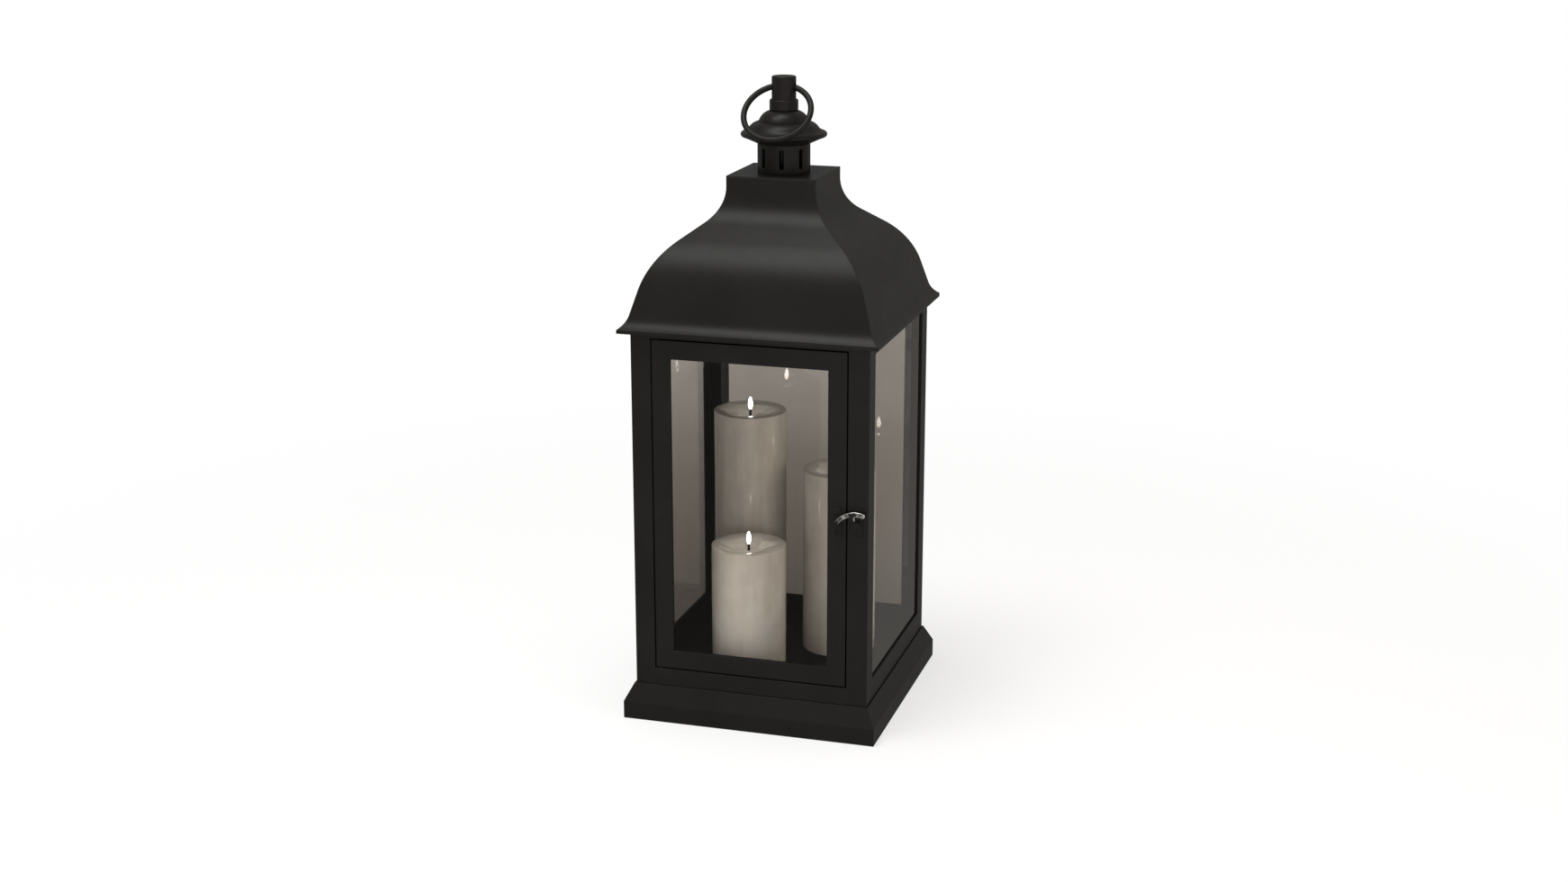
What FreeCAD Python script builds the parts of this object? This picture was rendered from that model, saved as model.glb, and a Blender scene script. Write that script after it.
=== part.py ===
import FreeCAD, Part
import math
import operator
import os
import types

import Sketcher

# A candle lantern: a square glazed cabin of folded sheet steel on a plinth, with a hinged door, a mitred
# ogee roof, a vented chimney with a carrying ring, and three battery pillar candles on its floor.
# Frame: +Z up, the door faces -Y, +X is to the right of the door, origin at the bottom centre. Millimetres.

SIZES = [
    # sheet and clearances
    ("sheet", 1.0, "thickness of the folded steel"),
    ("bend", 1.6, "outer radius of a post's corner bend"),
    ("seat_gap", 0.3, "gap where a cover or a door closes on its frame"),
    ("pin_gap", 0.05, "radial gap of a turning fit"),
    ("bolt_gap", 0.3, "radial gap round a bolt or a screw"),
    # plinth and floor
    ("base_side", 17.4, "upright side of the plinth"),
    ("base_height", 34.8, "plinth from the ground to its top"),
    ("base_slope", 8.7, "sloping side of the plinth, across"),
    ("base_top_lap", 1.3, "plinth's top beyond the cabin's face"),
    ("base_foot", 14.0, "flange that the plinth rests on"),
    ("base_ledge", 20.0, "flange at the plinth's top that carries the posts"),
    ("floor_rise", 3.2, "floor above the plinth's top"),
    # cabin
    ("body_width", 234.0, "cabin across its flats"),
    ("body_height", 361.2, "cabin from the plinth to the roof's seat"),
    ("front_stile", 20.0, "front post beside the door"),
    ("side_stile", 22.0, "post beside a pane"),
    ("front_sill", 17.5, "rail under the door"),
    ("side_sill", 21.8, "rail under a pane"),
    ("front_lintel", 12.0, "rail over the door"),
    ("side_lintel", 18.0, "rail over a pane"),
    ("ring_flange", 22.0, "flange of the top ring that carries the roof"),
    ("stop_lap", 5.0, "lap of the door stop behind the door"),
    # glass
    ("glass", 2.0, "pane thickness"),
    ("glass_recess", 3.4, "pane behind the face of its frame"),
    ("glass_lap", 7.0, "pane hidden behind its frame at each edge"),
    ("clip_sheet", 0.8, "thickness of a pane clip"),
    ("clip_width", 12.0, "clip along the pane's edge"),
    ("clip_foot", 8.0, "foot of a clip, beside the pane"),
    ("clip_lip", 5.0, "lip of a clip, over the pane"),
    ("clip_inset", 40.0, "first and last clip from the pane's ends"),
    # door
    ("door_gap", 1.5, "gap round the door"),
    ("door_strip", 18.0, "face of the door's frame"),
    ("door_depth", 9.0, "depth of the door's frame"),
    ("pin_radius", 1.25, "hinge pin"),
    ("pin_edge", 4.0, "hinge axis from the door's edge"),
    ("pin_depth", 3.0, "hinge axis behind the door's face"),
    ("pin_reach", 3.0, "pin beyond the sheet at each end"),
    ("pin_head", 1.65, "radius of the pin's shoulder"),
    # latch
    ("latch_height", 218.0, "middle of the latch above the ground"),
    ("plate_width", 9.4, "latch plate across"),
    ("plate_length", 32.0, "latch plate end to end"),
    ("screw_spacing", 19.6, "screws of a latch plate"),
    ("screw_radius", 1.2, "screw shank"),
    ("screw_head", 2.3, "radius of a screw head"),
    ("screw_rise", 1.2, "height of a screw head"),
    ("screw_length", 4.6, "screw under its head"),
    ("pivot_radius", 2.1, "post that the lever turns on"),
    ("pivot_boss", 3.3, "radius of the post's boss and head"),
    ("pivot_head", 1.1, "thickness of the post's head"),
    ("lever_lift", 2.0, "lever in front of its plate"),
    ("lever_thickness", 3.2, "lever from back to front"),
    ("lever_hub", 3.7, "radius of the lever round its post"),
    ("lever_span", 26.0, "post to the knob, across"),
    ("lever_rise", 10.0, "post to the knob, upwards"),
    ("lever_radius", 22.0, "middle line of the curved arm"),
    ("lever_band", 3.8, "width of the curved arm"),
    ("lever_knob", 2.4, "radius of the knob"),
    ("tooth_reach", 18.7, "upright side of the tooth from the post, across"),
    ("tooth_rise", 4.0, "tip of the tooth above the post"),
    ("tooth_tip", 1.2, "width of the tooth at its tip"),
    ("tooth_root", 6.4, "width of the tooth at the arm"),
    ("peg_radius", 2.0, "peg that the tooth catches on"),
    ("peg_rise", 2.0, "peg above the middle of its plate"),
    ("peg_length", 6.0, "peg in front of its plate"),
    # roof
    ("eave_overhang", 10.0, "eaves beyond the cabin's face"),
    ("eave_lip", 3.6, "upright lip of the eaves"),
    ("eave_drop", 7.7, "eaves below the roof's seat"),
    ("seat_width", 11.0, "flange of a roof panel on the top ring"),
    ("roof_height", 140.7, "eaves to the flat top"),
    ("neck_width", 88.2, "flat top across its flats"),
    ("neck_height", 10.2, "upright neck under the flat top"),
    ("neck_radius", 40.7, "hollow curve under the neck"),
    ("slope_angle", 36.65, "fall of the straight slope, degrees"),
    ("shoulder_radius", 85.5, "round curve under the slope"),
    ("wall_angle", 73.67, "fall of the steep stretch, degrees"),
    ("flare_radius", 22.8, "hollow curve above the lip"),
    ("flare_angle", 32.45, "fall of the flare at the lip, degrees"),
    ("vent_radius", 4.0, "draught hole in the top plate"),
    ("vent_circle", 15.0, "radius of the circle of draught holes"),
    # chimney
    ("tube_radius", 25.4, "chimney tube, outside"),
    ("tube_height", 27.2, "chimney tube above the roof"),
    ("slot_width", 4.5, "draught slot across"),
    ("slot_height", 19.2, "draught slot end to end"),
    ("slot_rise", 14.2, "middle of a slot above the roof"),
    ("slot_turn", 11.25, "first slot from the front, degrees"),
    ("cap_radius", 41.5, "rim of the cap"),
    ("cap_rise", 6.2, "rim of the cap above the tube"),
    ("cap_rim", 5.0, "thickness of the rim"),
    ("cap_height", 20.5, "cap above the tube"),
    ("cap_waist_radius", 33.6, "where the cap's two curves meet"),
    ("cap_waist_rise", 15.0, "height of that place above the tube"),
    ("cap_crown_radius", 26.0, "flat crown of the cap"),
    ("cap_hollow", 11.0, "radius of the cap's hollow curve"),
    ("cap_round", 14.0, "radius of the cap's round curve"),
    ("dome_radius", 24.4, "small dome at its foot"),
    ("dome_top_radius", 14.8, "small dome at its flat top"),
    ("dome_height", 10.3, "small dome"),
    ("dome_round", 15.0, "radius of the small dome's curve"),
    ("stem_radius", 11.7, "stem"),
    ("stem_height", 33.0, "stem"),
    ("stem_round", 1.5, "rounded top edge of the stem"),
    ("collar_radius", 13.8, "collar round the stem"),
    ("collar_height", 11.0, "collar"),
    ("collar_round", 1.6, "rounded edges of the collar"),
    ("bolt_radius", 2.5, "tie bolt"),
    ("bolt_head", 5.5, "radius of the tie bolt's head"),
    ("bolt_head_height", 4.0, "head of the tie bolt"),
    ("bolt_grip", 12.0, "tie bolt screwed into the stem"),
    # carrying ring
    ("ring_radius", 32.5, "carrying ring, middle of its wire"),
    ("ring_wire", 2.85, "radius of the ring's wire"),
    ("ring_eye", 4.6, "hole in the stem"),
    ("ring_eye_rise", 23.0, "hole above the stem's foot"),
    ("ring_slack", 1.05, "wire past the middle of the hole"),
    ("ring_lean", 45.0, "ring from hanging straight down, degrees"),
    # candles
    ("candle_radius", 37.0, "pillar candle"),
    ("front_candle_height", 128.5, "front candle"),
    ("right_candle_height", 189.0, "right candle"),
    ("tall_candle_height", 239.0, "tall candle"),
    ("front_candle_x", -21.0, "front candle, across"),
    ("front_candle_y", -51.0, "front candle, from front to back"),
    ("right_candle_x", 49.0, "right candle, across"),
    ("right_candle_y", 32.0, "right candle, from front to back"),
    ("tall_candle_x", -49.5, "tall candle, across"),
    ("tall_candle_y", 47.0, "tall candle, from front to back"),
    ("wax_wall", 4.5, "wall of the wax"),
    ("wax_top", 20.0, "wax over the hollow"),
    ("wax_edge", 1.5, "rounded outer edge of the wax"),
    ("lip_width", 10.5, "flat lip round the melted dish"),
    ("dish_depth", 6.5, "melted dish"),
    ("dish_slope", 8.0, "side of the dish, across"),
    ("wick_radius", 1.3, "wick"),
    ("wick_foot", 6.0, "radius of the wick's foot under the wax"),
    ("wick_foot_height", 2.0, "thickness of that foot"),
    ("flame_radius", 2.4, "flame at its widest"),
    ("flame_height", 13.2, "flame above the wick"),
    ("case_height", 19.5, "battery case"),
    ("case_gap", 0.3, "gap round the battery case, its cover and its switch"),
    ("case_lift", 0.5, "battery case above the wax's foot"),
    ("case_roof", 2.6, "case above its battery bay"),
    ("cell_radius", 7.1, "battery cell"),
    ("cell_length", 49.2, "battery cell without its nub"),
    ("nub_radius", 2.75, "nub of a cell"),
    ("nub_length", 1.2, "nub of a cell, along the cell"),
    ("cell_gap", 0.3, "gap round a cell"),
    ("cover_thickness", 1.5, "battery cover"),
    ("notch_radius", 3.0, "finger notch of the cover"),
    ("switch_length", 6.0, "switch slider"),
    ("switch_width", 3.4, "switch slider across"),
    ("switch_height", 3.0, "switch slider"),
    ("switch_travel", 4.0, "travel of the switch"),
    ("switch_offset", 23.0, "switch from the candle's axis"),
]

SLOT_COUNT = 8
VENT_COUNT = 6
CLIPS_PER_EDGE = 2
FLAME_SHAPE = [(0.88, 0.14), (1.0, 0.32), (0.84, 0.54), (0.5, 0.78), (0.16, 1.0)]
SIDES = [("right", 0), ("rear", 90), ("left", 180), ("front", 270)]

doc = FreeCAD.newDocument("candle_lantern")
sheet = doc.addObject("Spreadsheet::Sheet", "Sizes")
nodes = []


class Size:
    """A length or an angle, with the sheet formula that gives it."""

    def __init__(self, value, formula):
        self.value = value
        self.formula = formula

    def __add__(self, other):
        return combine(self, "+", other)

    def __sub__(self, other):
        return combine(self, "-", other)

    def __mul__(self, other):
        return combine(self, "*", other)

    def __truediv__(self, other):
        return combine(self, "/", other)

    def __neg__(self):
        return combine(0, "-", self)


OPERATIONS = {"+": operator.add, "-": operator.sub, "*": operator.mul, "/": operator.truediv}
ZERO = Size(0.0, "0")


def as_size(item):
    return item if isinstance(item, Size) else Size(float(item), repr(float(item)))


def combine(left, sign, right):
    first = as_size(left)
    second = as_size(right)
    formula = "(%s %s %s)" % (first.formula, sign, second.formula)
    return Size(OPERATIONS[sign](first.value, second.value), formula)


def sine(angle):
    return Size(math.sin(math.radians(angle.value)), "sin(%s * 1 deg)" % angle.formula)


def cosine(angle):
    return Size(math.cos(math.radians(angle.value)), "cos(%s * 1 deg)" % angle.formula)


def fill_sheet():
    """Writes the driving sizes to the sheet and returns them by name."""
    named = {}
    for row, (alias, value, meaning) in enumerate(SIZES, start=1):
        sheet.set("A%d" % row, meaning)
        sheet.set("B%d" % row, str(value))
        sheet.setAlias("B%d" % row, alias)
        named[alias] = Size(value, "Sizes." + alias)
    doc.recompute()
    return types.SimpleNamespace(**named)


s = fill_sheet()


# Sketch and feature helpers

def new_body(label, is_node=True):
    body = doc.addObject("PartDesign::Body", label)
    body.Label = label
    body.AllowCompound = True
    if is_node:
        nodes.append(body)
    return body


def place(item, x=ZERO, y=ZERO, z=ZERO, axis=None, turn=0.0):
    """Turns an object about an axis through the origin, then moves it to a place given by sizes."""
    if axis is not None:
        item.Placement = FreeCAD.Placement(FreeCAD.Vector(), FreeCAD.Rotation(axis, turn))
    for letter, size in (("x", x), ("y", y), ("z", z)):
        item.setExpression("Placement.Base." + letter, size.formula)


def new_sketch(body, plane, lift=None):
    """A sketch on one of the body's own origin planes, lifted along the plane's normal."""
    sketch = body.newObject("Sketcher::SketchObject", body.Label + "_sketch")
    support = [item for item in body.Origin.OriginFeatures if item.Role == plane + "_Plane"]
    sketch.AttachmentSupport = [(support[0], "")]
    sketch.MapMode = "FlatFace"
    if lift is not None:
        sketch.setExpression("AttachmentOffset.Base.z", lift.formula)
    return sketch


def vector(corner):
    return FreeCAD.Vector(corner[0].value, corner[1].value, 0)


def bind(sketch, constraint, size):
    index = sketch.addConstraint(constraint)
    sketch.setExpression("Constraints[%d]" % index, size.formula)


def pin(sketch, geometry, end, corner):
    """Ties one end of a line or arc, or a circle's centre, to a place given by sizes."""
    for kind, axis, size in (("DistanceX", -2, corner[0]), ("DistanceY", -1, corner[1])):
        if size is ZERO:
            sketch.addConstraint(Sketcher.Constraint("PointOnObject", geometry, end, axis))
        else:
            bind(sketch, Sketcher.Constraint(kind, -1, 1, geometry, end, size.value), size)


def arc_between(centre, start, end):
    """The arc about a centre that runs anticlockwise from start to end."""
    radius = (start - centre).Length
    first = math.atan2(start.y - centre.y, start.x - centre.x)
    last = math.atan2(end.y - centre.y, end.x - centre.x)
    if last <= first:
        last += 2 * math.pi
    return Part.ArcOfCircle(Part.Circle(centre, FreeCAD.Vector(0, 0, 1), radius), first, last)


def bulge(start, end, radius):
    """The arc of a radius from start to end that bulges to the right of that line."""
    chord = end - start
    middle = (start + end) * 0.5
    inward = FreeCAD.Vector(-chord.y, chord.x, 0).normalize()
    depth = math.sqrt(max(radius ** 2 - (chord.Length / 2) ** 2, 0.0))
    return arc_between(middle + inward * depth, start, end)


def outline(sketch, corners):
    """Draws a closed outline. A corner is (x, y), or (x, y, radius) where an arc of that radius leads on to
    the next corner. The arc bulges to the right of its chord, or to the left with (x, y, radius, "left")."""
    first = sketch.GeometryCount
    count = len(corners)
    ends = []
    for index, corner in enumerate(corners):
        start = vector(corner)
        end = vector(corners[(index + 1) % count])
        if len(corner) == 2:
            sketch.addGeometry(Part.LineSegment(start, end))
            ends.append((1, 2))
        elif len(corner) == 3:
            sketch.addGeometry(bulge(start, end, corner[2].value))
            ends.append((1, 2))
        else:
            sketch.addGeometry(bulge(end, start, corner[2].value))
            ends.append((2, 1))
    for index, corner in enumerate(corners):
        follower = (index + 1) % count
        join = (first + index, ends[index][1], first + follower, ends[follower][0])
        sketch.addConstraint(Sketcher.Constraint("Coincident", *join))
        pin(sketch, first + index, ends[index][0], corner)
        if len(corner) > 2:
            set_radius(sketch, first + index, corner, corners[follower])


def set_radius(sketch, arc, corner, follower):
    """Gives an arc its radius. A half circle keeps its centre on its upright or level chord instead."""
    chord = vector(follower) - vector(corner)
    if chord.Length < 2 * corner[2].value - 1e-6:
        bind(sketch, Sketcher.Constraint("Radius", arc, corner[2].value), corner[2])
    elif abs(chord.x) < 1e-6:
        bind(sketch, Sketcher.Constraint("DistanceX", -1, 1, arc, 3, corner[0].value), corner[0])
    else:
        bind(sketch, Sketcher.Constraint("DistanceY", -1, 1, arc, 3, corner[1].value), corner[1])


def rectangle(sketch, left, right, bottom, top):
    outline(sketch, [(left, bottom), (right, bottom), (right, top), (left, top)])


def square(sketch, half):
    rectangle(sketch, -half, half, -half, half)


def circle(sketch, centre, radius):
    index = sketch.addGeometry(Part.Circle(vector(centre), FreeCAD.Vector(0, 0, 1), radius.value))
    pin(sketch, index, 3, centre)
    bind(sketch, Sketcher.Constraint("Radius", index, radius.value), radius)


def obround(sketch, centre, width, length):
    """An upright slot with round ends."""
    half = width / 2
    left = centre[0] - half
    right = centre[0] + half
    low = centre[1] - length / 2 + half
    high = centre[1] + length / 2 - half
    outline(sketch, [(left, low, half), (right, low), (right, high, half), (left, high)])


def pad(body, sketch, length, side="One side", reverse=False):
    feature = body.newObject("PartDesign::Pad", body.Label + "_pad")
    feature.Profile = sketch
    feature.SideType = side
    feature.Reversed = reverse
    feature.setExpression("Length", length.formula)
    sketch.Visibility = False
    doc.recompute()
    return feature


def pocket(body, sketch, length=None, side="One side", reverse=False):
    """Cuts a sketch out of a body, to a length or right through, and checks that it cut something."""
    before = body.Shape.Volume
    feature = body.newObject("PartDesign::Pocket", body.Label + "_pocket")
    feature.Profile = sketch
    feature.SideType = side
    feature.Reversed = reverse
    if length is None:
        feature.Type = "ThroughAll"
    else:
        feature.setExpression("Length", length.formula)
    doc.recompute()
    if body.Shape.Volume >= before:
        raise RuntimeError("a pocket cuts nothing in " + body.Label)
    return feature


def revolve(body, sketch, axis="V_Axis"):
    feature = body.newObject("PartDesign::Revolution", body.Label + "_turned")
    feature.Profile = sketch
    feature.ReferenceAxis = (sketch, [axis])
    feature.Angle = 360
    doc.recompute()
    return feature


def polar(body, feature, count):
    """Repeats a feature round the body's Z axis."""
    pattern = body.newObject("PartDesign::PolarPattern", body.Label + "_round")
    pattern.Originals = [feature]
    pattern.Axis = ([item for item in body.Origin.OriginFeatures if item.Role == "Z_Axis"][0], [""])
    pattern.Angle = 360
    pattern.Occurrences = count
    body.Tip = pattern
    doc.recompute()


def repeat(body, feature, axis, length, count):
    """Repeats a feature evenly along one of the body's axes."""
    pattern = body.newObject("PartDesign::LinearPattern", body.Label + "_row")
    pattern.Originals = [feature]
    pattern.Direction = ([item for item in body.Origin.OriginFeatures if item.Role == axis + "_Axis"][0], [""])
    pattern.setExpression("Length", length.formula)
    pattern.Occurrences = count
    body.Tip = pattern
    doc.recompute()


def turned(label, corners, is_node=True):
    """A piece turned about the Z axis from a half outline of (radius, height) corners."""
    body = new_body(label, is_node)
    sketch = new_sketch(body, "XZ")
    outline(sketch, corners)
    revolve(body, sketch)
    return body


def plate(label, left, right, front, back, bottom, top):
    """A plain rectangular pane."""
    box = doc.addObject("Part::Box", label)
    box.Label = label
    box.setExpression("Length", (right - left).formula)
    box.setExpression("Width", (back - front).formula)
    box.setExpression("Height", (top - bottom).formula)
    place(box, left, front, bottom)
    nodes.append(box)
    return box


# Places that several pieces share

body_half = s.body_width / 2
base_top_half = body_half + s.base_top_lap
base_half = base_top_half + s.base_slope
inner_half = body_half - s.sheet
body_top = s.base_height + s.body_height
floor_top = s.base_height + s.floor_rise
jamb_depth = s.door_depth + s.seat_gap + s.sheet
front_half = body_half - s.front_stile
side_half = body_half - s.side_stile
doorway_bottom = s.base_height + s.front_sill
doorway_top = body_top - s.front_lintel
pane_outer = body_half - s.glass_recess
pane_inner = pane_outer - s.glass
eave_half = body_half + s.eave_overhang
eave_bottom = body_top - s.eave_drop
roof_top = eave_bottom + s.roof_height
plate_bottom = roof_top - s.sheet
tube_top = roof_top + s.tube_height
cap_top = tube_top + s.cap_height
stem_bottom = cap_top + s.dome_height
door_half = front_half - s.door_gap
door_bottom = doorway_bottom + s.door_gap
door_top = doorway_top - s.door_gap
window_half = door_half - s.door_strip
hinge_x = s.pin_edge - door_half
hinge_y = s.pin_depth - body_half
latch_x = door_half - s.door_strip / 2
catch_x = body_half - s.front_stile / 2
UP = FreeCAD.Vector(0, 0, 1)
ACROSS = FreeCAD.Vector(1, 0, 0)


def cut_mitres(body, half):
    """Trims a right-hand rail or panel to the wedge between the two diagonals of the plan."""
    margin = half * 1.2
    sketch = new_sketch(body, "XY")
    outline(sketch, [(ZERO, ZERO), (margin, margin), (-half, margin), (-half, -margin), (margin, -margin)])
    pocket(body, sketch, side="Symmetric")


# Plinth and floor

def make_plinth():
    slope = s.base_slope / (s.base_height - s.base_side)
    under = s.base_height - s.sheet
    section = [
        (base_half - s.base_foot, ZERO),
        (base_half, ZERO),
        (base_half, s.base_side),
        (base_top_half, s.base_height),
        (base_top_half - s.base_ledge, s.base_height),
        (base_top_half - s.base_ledge, under),
        (base_top_half - s.sheet + slope * s.sheet, under),
        (base_half - s.sheet, s.base_side),
        (base_half - s.sheet, s.sheet),
        (base_half - s.base_foot, s.sheet),
    ]
    for side, turn in SIDES:
        body = new_body("plinth_" + side)
        sketch = new_sketch(body, "XZ")
        outline(sketch, section)
        pad(body, sketch, base_half * 2, side="Symmetric")
        cut_mitres(body, base_half)
        place(body, axis=UP, turn=turn)


def notched_square(sketch, half, notch):
    """A square with its four corners cut out beyond a notch line, to pass between the posts."""
    outline(sketch, [
        (notch, -half), (notch, -notch), (half, -notch), (half, notch), (notch, notch), (notch, half),
        (-notch, half), (-notch, notch), (-half, notch), (-half, -notch), (-notch, -notch), (-notch, -half),
    ])


def make_floor():
    """A pressed tray: its rim stands on the plinth's ledge and its notched corners clear the posts."""
    body = new_body("floor_tray")
    half = inner_half - s.seat_gap
    notch = front_half - s.stop_lap - s.seat_gap
    upper = new_sketch(body, "XY", s.base_height)
    notched_square(upper, half, notch)
    pad(body, upper, s.floor_rise)
    under = new_sketch(body, "XY", s.base_height)
    notched_square(under, half - s.sheet, notch - s.sheet)
    pocket(body, under, s.floor_rise - s.sheet, reverse=True)


# Cabin frame

def post_section(first_leg, first_return, second_leg, second_return):
    """An angle with its outer corner at (0, 0), legs along +x and +y, and a return at the end of each leg."""
    return [
        (ZERO, s.bend, s.bend),
        (s.bend, ZERO),
        (first_leg, ZERO),
        (first_leg, first_return),
        (first_leg - s.sheet, first_return),
        (first_leg - s.sheet, s.sheet),
        (s.sheet, s.sheet),
        (s.sheet, second_leg - s.sheet),
        (second_return, second_leg - s.sheet),
        (second_return, second_leg),
        (ZERO, second_leg),
    ]


def make_posts():
    height = s.body_height - s.sheet
    door_leg = (s.front_stile, jamb_depth)
    pane_leg = (s.side_stile, s.glass_recess)
    posts = [
        ("post_front_left", post_section(*door_leg, *pane_leg), -body_half, -body_half, 0),
        ("post_front_right", post_section(*pane_leg, *door_leg), body_half, -body_half, 90),
        ("post_rear_right", post_section(*pane_leg, *pane_leg), body_half, body_half, 180),
        ("post_rear_left", post_section(*pane_leg, *pane_leg), -body_half, body_half, 270),
    ]
    for label, section, x, y, turn in posts:
        body = new_body(label)
        sketch = new_sketch(body, "XY")
        outline(sketch, section)
        pad(body, sketch, height)
        if label == "post_front_right":
            add_stop(body)
            drill_post(body)
        place(body, x, y, s.base_height, axis=UP, turn=turn)


def add_stop(body):
    """The door's stop: a flange past the end of the return that lines the doorway."""
    sketch = new_sketch(body, "XY", s.front_sill)
    rectangle(sketch, jamb_depth - s.sheet, jamb_depth, s.front_stile - s.sheet, s.front_stile + s.stop_lap)
    pad(body, sketch, doorway_top - doorway_bottom)


def drill_post(body):
    """Screw holes for the catch plate, in the front leg of the right-hand post."""
    sketch = new_sketch(body, "YZ")
    middle = s.latch_height - s.base_height
    for rise in (-s.screw_spacing / 2, s.screw_spacing / 2):
        circle(sketch, (s.front_stile / 2, middle + rise), s.screw_radius + s.bolt_gap)
    pocket(body, sketch, s.sheet * 2, reverse=True)


def rail_section(bottom, top, return_depth, return_height):
    """An upright strip behind the cabin's face with a return folded inwards at a height."""
    inner_end = body_half - return_depth
    if return_height is top:
        return [
            (body_half, bottom),
            (body_half, top),
            (inner_end, top),
            (inner_end, top - s.sheet),
            (inner_half, top - s.sheet),
            (inner_half, bottom),
        ]
    return [
        (inner_end, bottom),
        (body_half, bottom),
        (body_half, top),
        (inner_half, top),
        (inner_half, bottom + s.sheet),
        (inner_end, bottom + s.sheet),
    ]


def drill_hinge(body, x, y):
    """The hinge pin's hole, right through a rail or the door."""
    sketch = new_sketch(body, "XY")
    circle(sketch, (x, y), s.pin_radius + s.pin_gap)
    pocket(body, sketch, side="Symmetric")


def make_sills():
    for side, turn in SIDES:
        is_front = side == "front"
        top = s.base_height + (s.front_sill if is_front else s.side_sill)
        depth = jamb_depth if is_front else s.glass_recess
        half = front_half if is_front else side_half
        body = new_body("sill_" + side)
        sketch = new_sketch(body, "XZ")
        outline(sketch, rail_section(s.base_height, top, depth, top))
        pad(body, sketch, half * 2, side="Symmetric")
        if is_front:
            drill_hinge(body, -hinge_y, hinge_x)
        place(body, axis=UP, turn=turn)


def make_top_ring():
    """A flat flange on the posts, with a rail hanging from it on each side."""
    body = new_body("top_ring")
    flange = new_sketch(body, "XY", body_top - s.sheet)
    square(flange, body_half)
    square(flange, body_half - s.ring_flange)
    pad(body, flange, s.sheet)
    side_bottom = body_top - s.side_lintel
    front_rail = rail_section(doorway_top, body_top, jamb_depth, doorway_top)
    side_rail = rail_section(side_bottom, body_top, s.glass_recess, side_bottom)
    rails = [("YZ", front_rail, -1, front_half), ("YZ", side_rail, 1, side_half),
             ("XZ", side_rail, 1, side_half), ("XZ", side_rail, -1, side_half)]
    for plane, section, sign, half in rails:
        sketch = new_sketch(body, plane)
        outline(sketch, [(corner[0] * sign, corner[1]) for corner in section])
        pad(body, sketch, half * 2, side="Symmetric")
    drill_sketch = new_sketch(body, "XY", doorway_top)
    circle(drill_sketch, (hinge_x, hinge_y), s.pin_radius + s.pin_gap)
    pocket(body, drill_sketch, s.sheet, reverse=True)


# Panes and their clips

pane_bottom = s.base_height + s.side_sill - s.glass_lap
pane_top = body_top - s.side_lintel + s.glass_lap
pane_half = side_half + s.glass_lap
door_pane_half = window_half + s.glass_lap
door_pane_bottom = door_bottom + s.door_strip - s.glass_lap
door_pane_top = door_top - s.door_strip + s.glass_lap


def make_panes():
    plate("pane_right", pane_inner, pane_outer, -pane_half, pane_half, pane_bottom, pane_top)
    plate("pane_left", -pane_outer, -pane_inner, -pane_half, pane_half, pane_bottom, pane_top)
    plate("pane_rear", -pane_half, pane_half, pane_inner, pane_outer, pane_bottom, pane_top)
    plate("door_pane", -door_pane_half, door_pane_half, -pane_outer, -pane_inner,
          door_pane_bottom, door_pane_top)


def clip_section(edge):
    """A stepped tab as (depth, along) corners: a foot on the sheet, a riser past the pane, a lip over it."""
    riser = edge + s.bolt_gap
    lip_depth = pane_inner - s.clip_sheet
    return [
        (inner_half, riser + s.clip_foot),
        (inner_half - s.clip_sheet, riser + s.clip_foot),
        (inner_half - s.clip_sheet, riser + s.clip_sheet),
        (lip_depth, riser + s.clip_sheet),
        (lip_depth, edge - s.clip_lip),
        (pane_inner, edge - s.clip_lip),
        (pane_inner, riser),
        (inner_half, riser),
    ]


def make_clips(label, edge, places, bottom, top):
    """One tab at each pane edge in places, repeated up the pane. A place turns (depth, along) to (x, y)."""
    body = new_body(label)
    sketch = new_sketch(body, "XY", bottom + s.clip_inset)
    for depth_axis, depth_sign, along_sign in places:
        corners = []
        for depth, along in clip_section(edge):
            pair = (depth * depth_sign, along * along_sign)
            corners.append(pair if depth_axis == "x" else (pair[1], pair[0]))
        outline(sketch, corners)
    tabs = pad(body, sketch, s.clip_width)
    repeat(body, tabs, "Z", top - bottom - s.clip_inset * 2 - s.clip_width, CLIPS_PER_EDGE)


# Roof

def along(angle):
    """The step outwards and downwards on a slope that falls by an angle in degrees."""
    return FreeCAD.Vector(math.cos(math.radians(angle)), -math.sin(math.radians(angle)), 0)


def above(angle):
    """The step square to that slope, outwards and upwards."""
    return FreeCAD.Vector(math.sin(math.radians(angle)), math.cos(math.radians(angle)), 0)


def ogee_centres():
    """Centres of the ogee's three arcs: tangent to the neck, the slope, the steep wall and the lip."""
    slope = s.slope_angle.value
    wall = s.wall_angle.value
    lip_top = FreeCAD.Vector(eave_half.value, (eave_bottom + s.eave_lip).value, 0)
    hollow = FreeCAD.Vector((s.neck_width / 2 + s.neck_radius).value, (roof_top - s.neck_height).value, 0)
    flare = lip_top + above(s.flare_angle.value) * s.flare_radius.value
    slope_start = hollow - above(slope) * s.neck_radius.value
    wall_end = flare - above(wall) * s.flare_radius.value
    gap = wall_end - slope_start + (above(slope) - above(wall)) * s.shoulder_radius.value
    turn = along(slope).cross(along(wall)).z
    slope_length = gap.cross(along(wall)).z / turn
    shoulder = slope_start + along(slope) * slope_length - above(slope) * s.shoulder_radius.value
    return hollow, shoulder, flare


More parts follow.
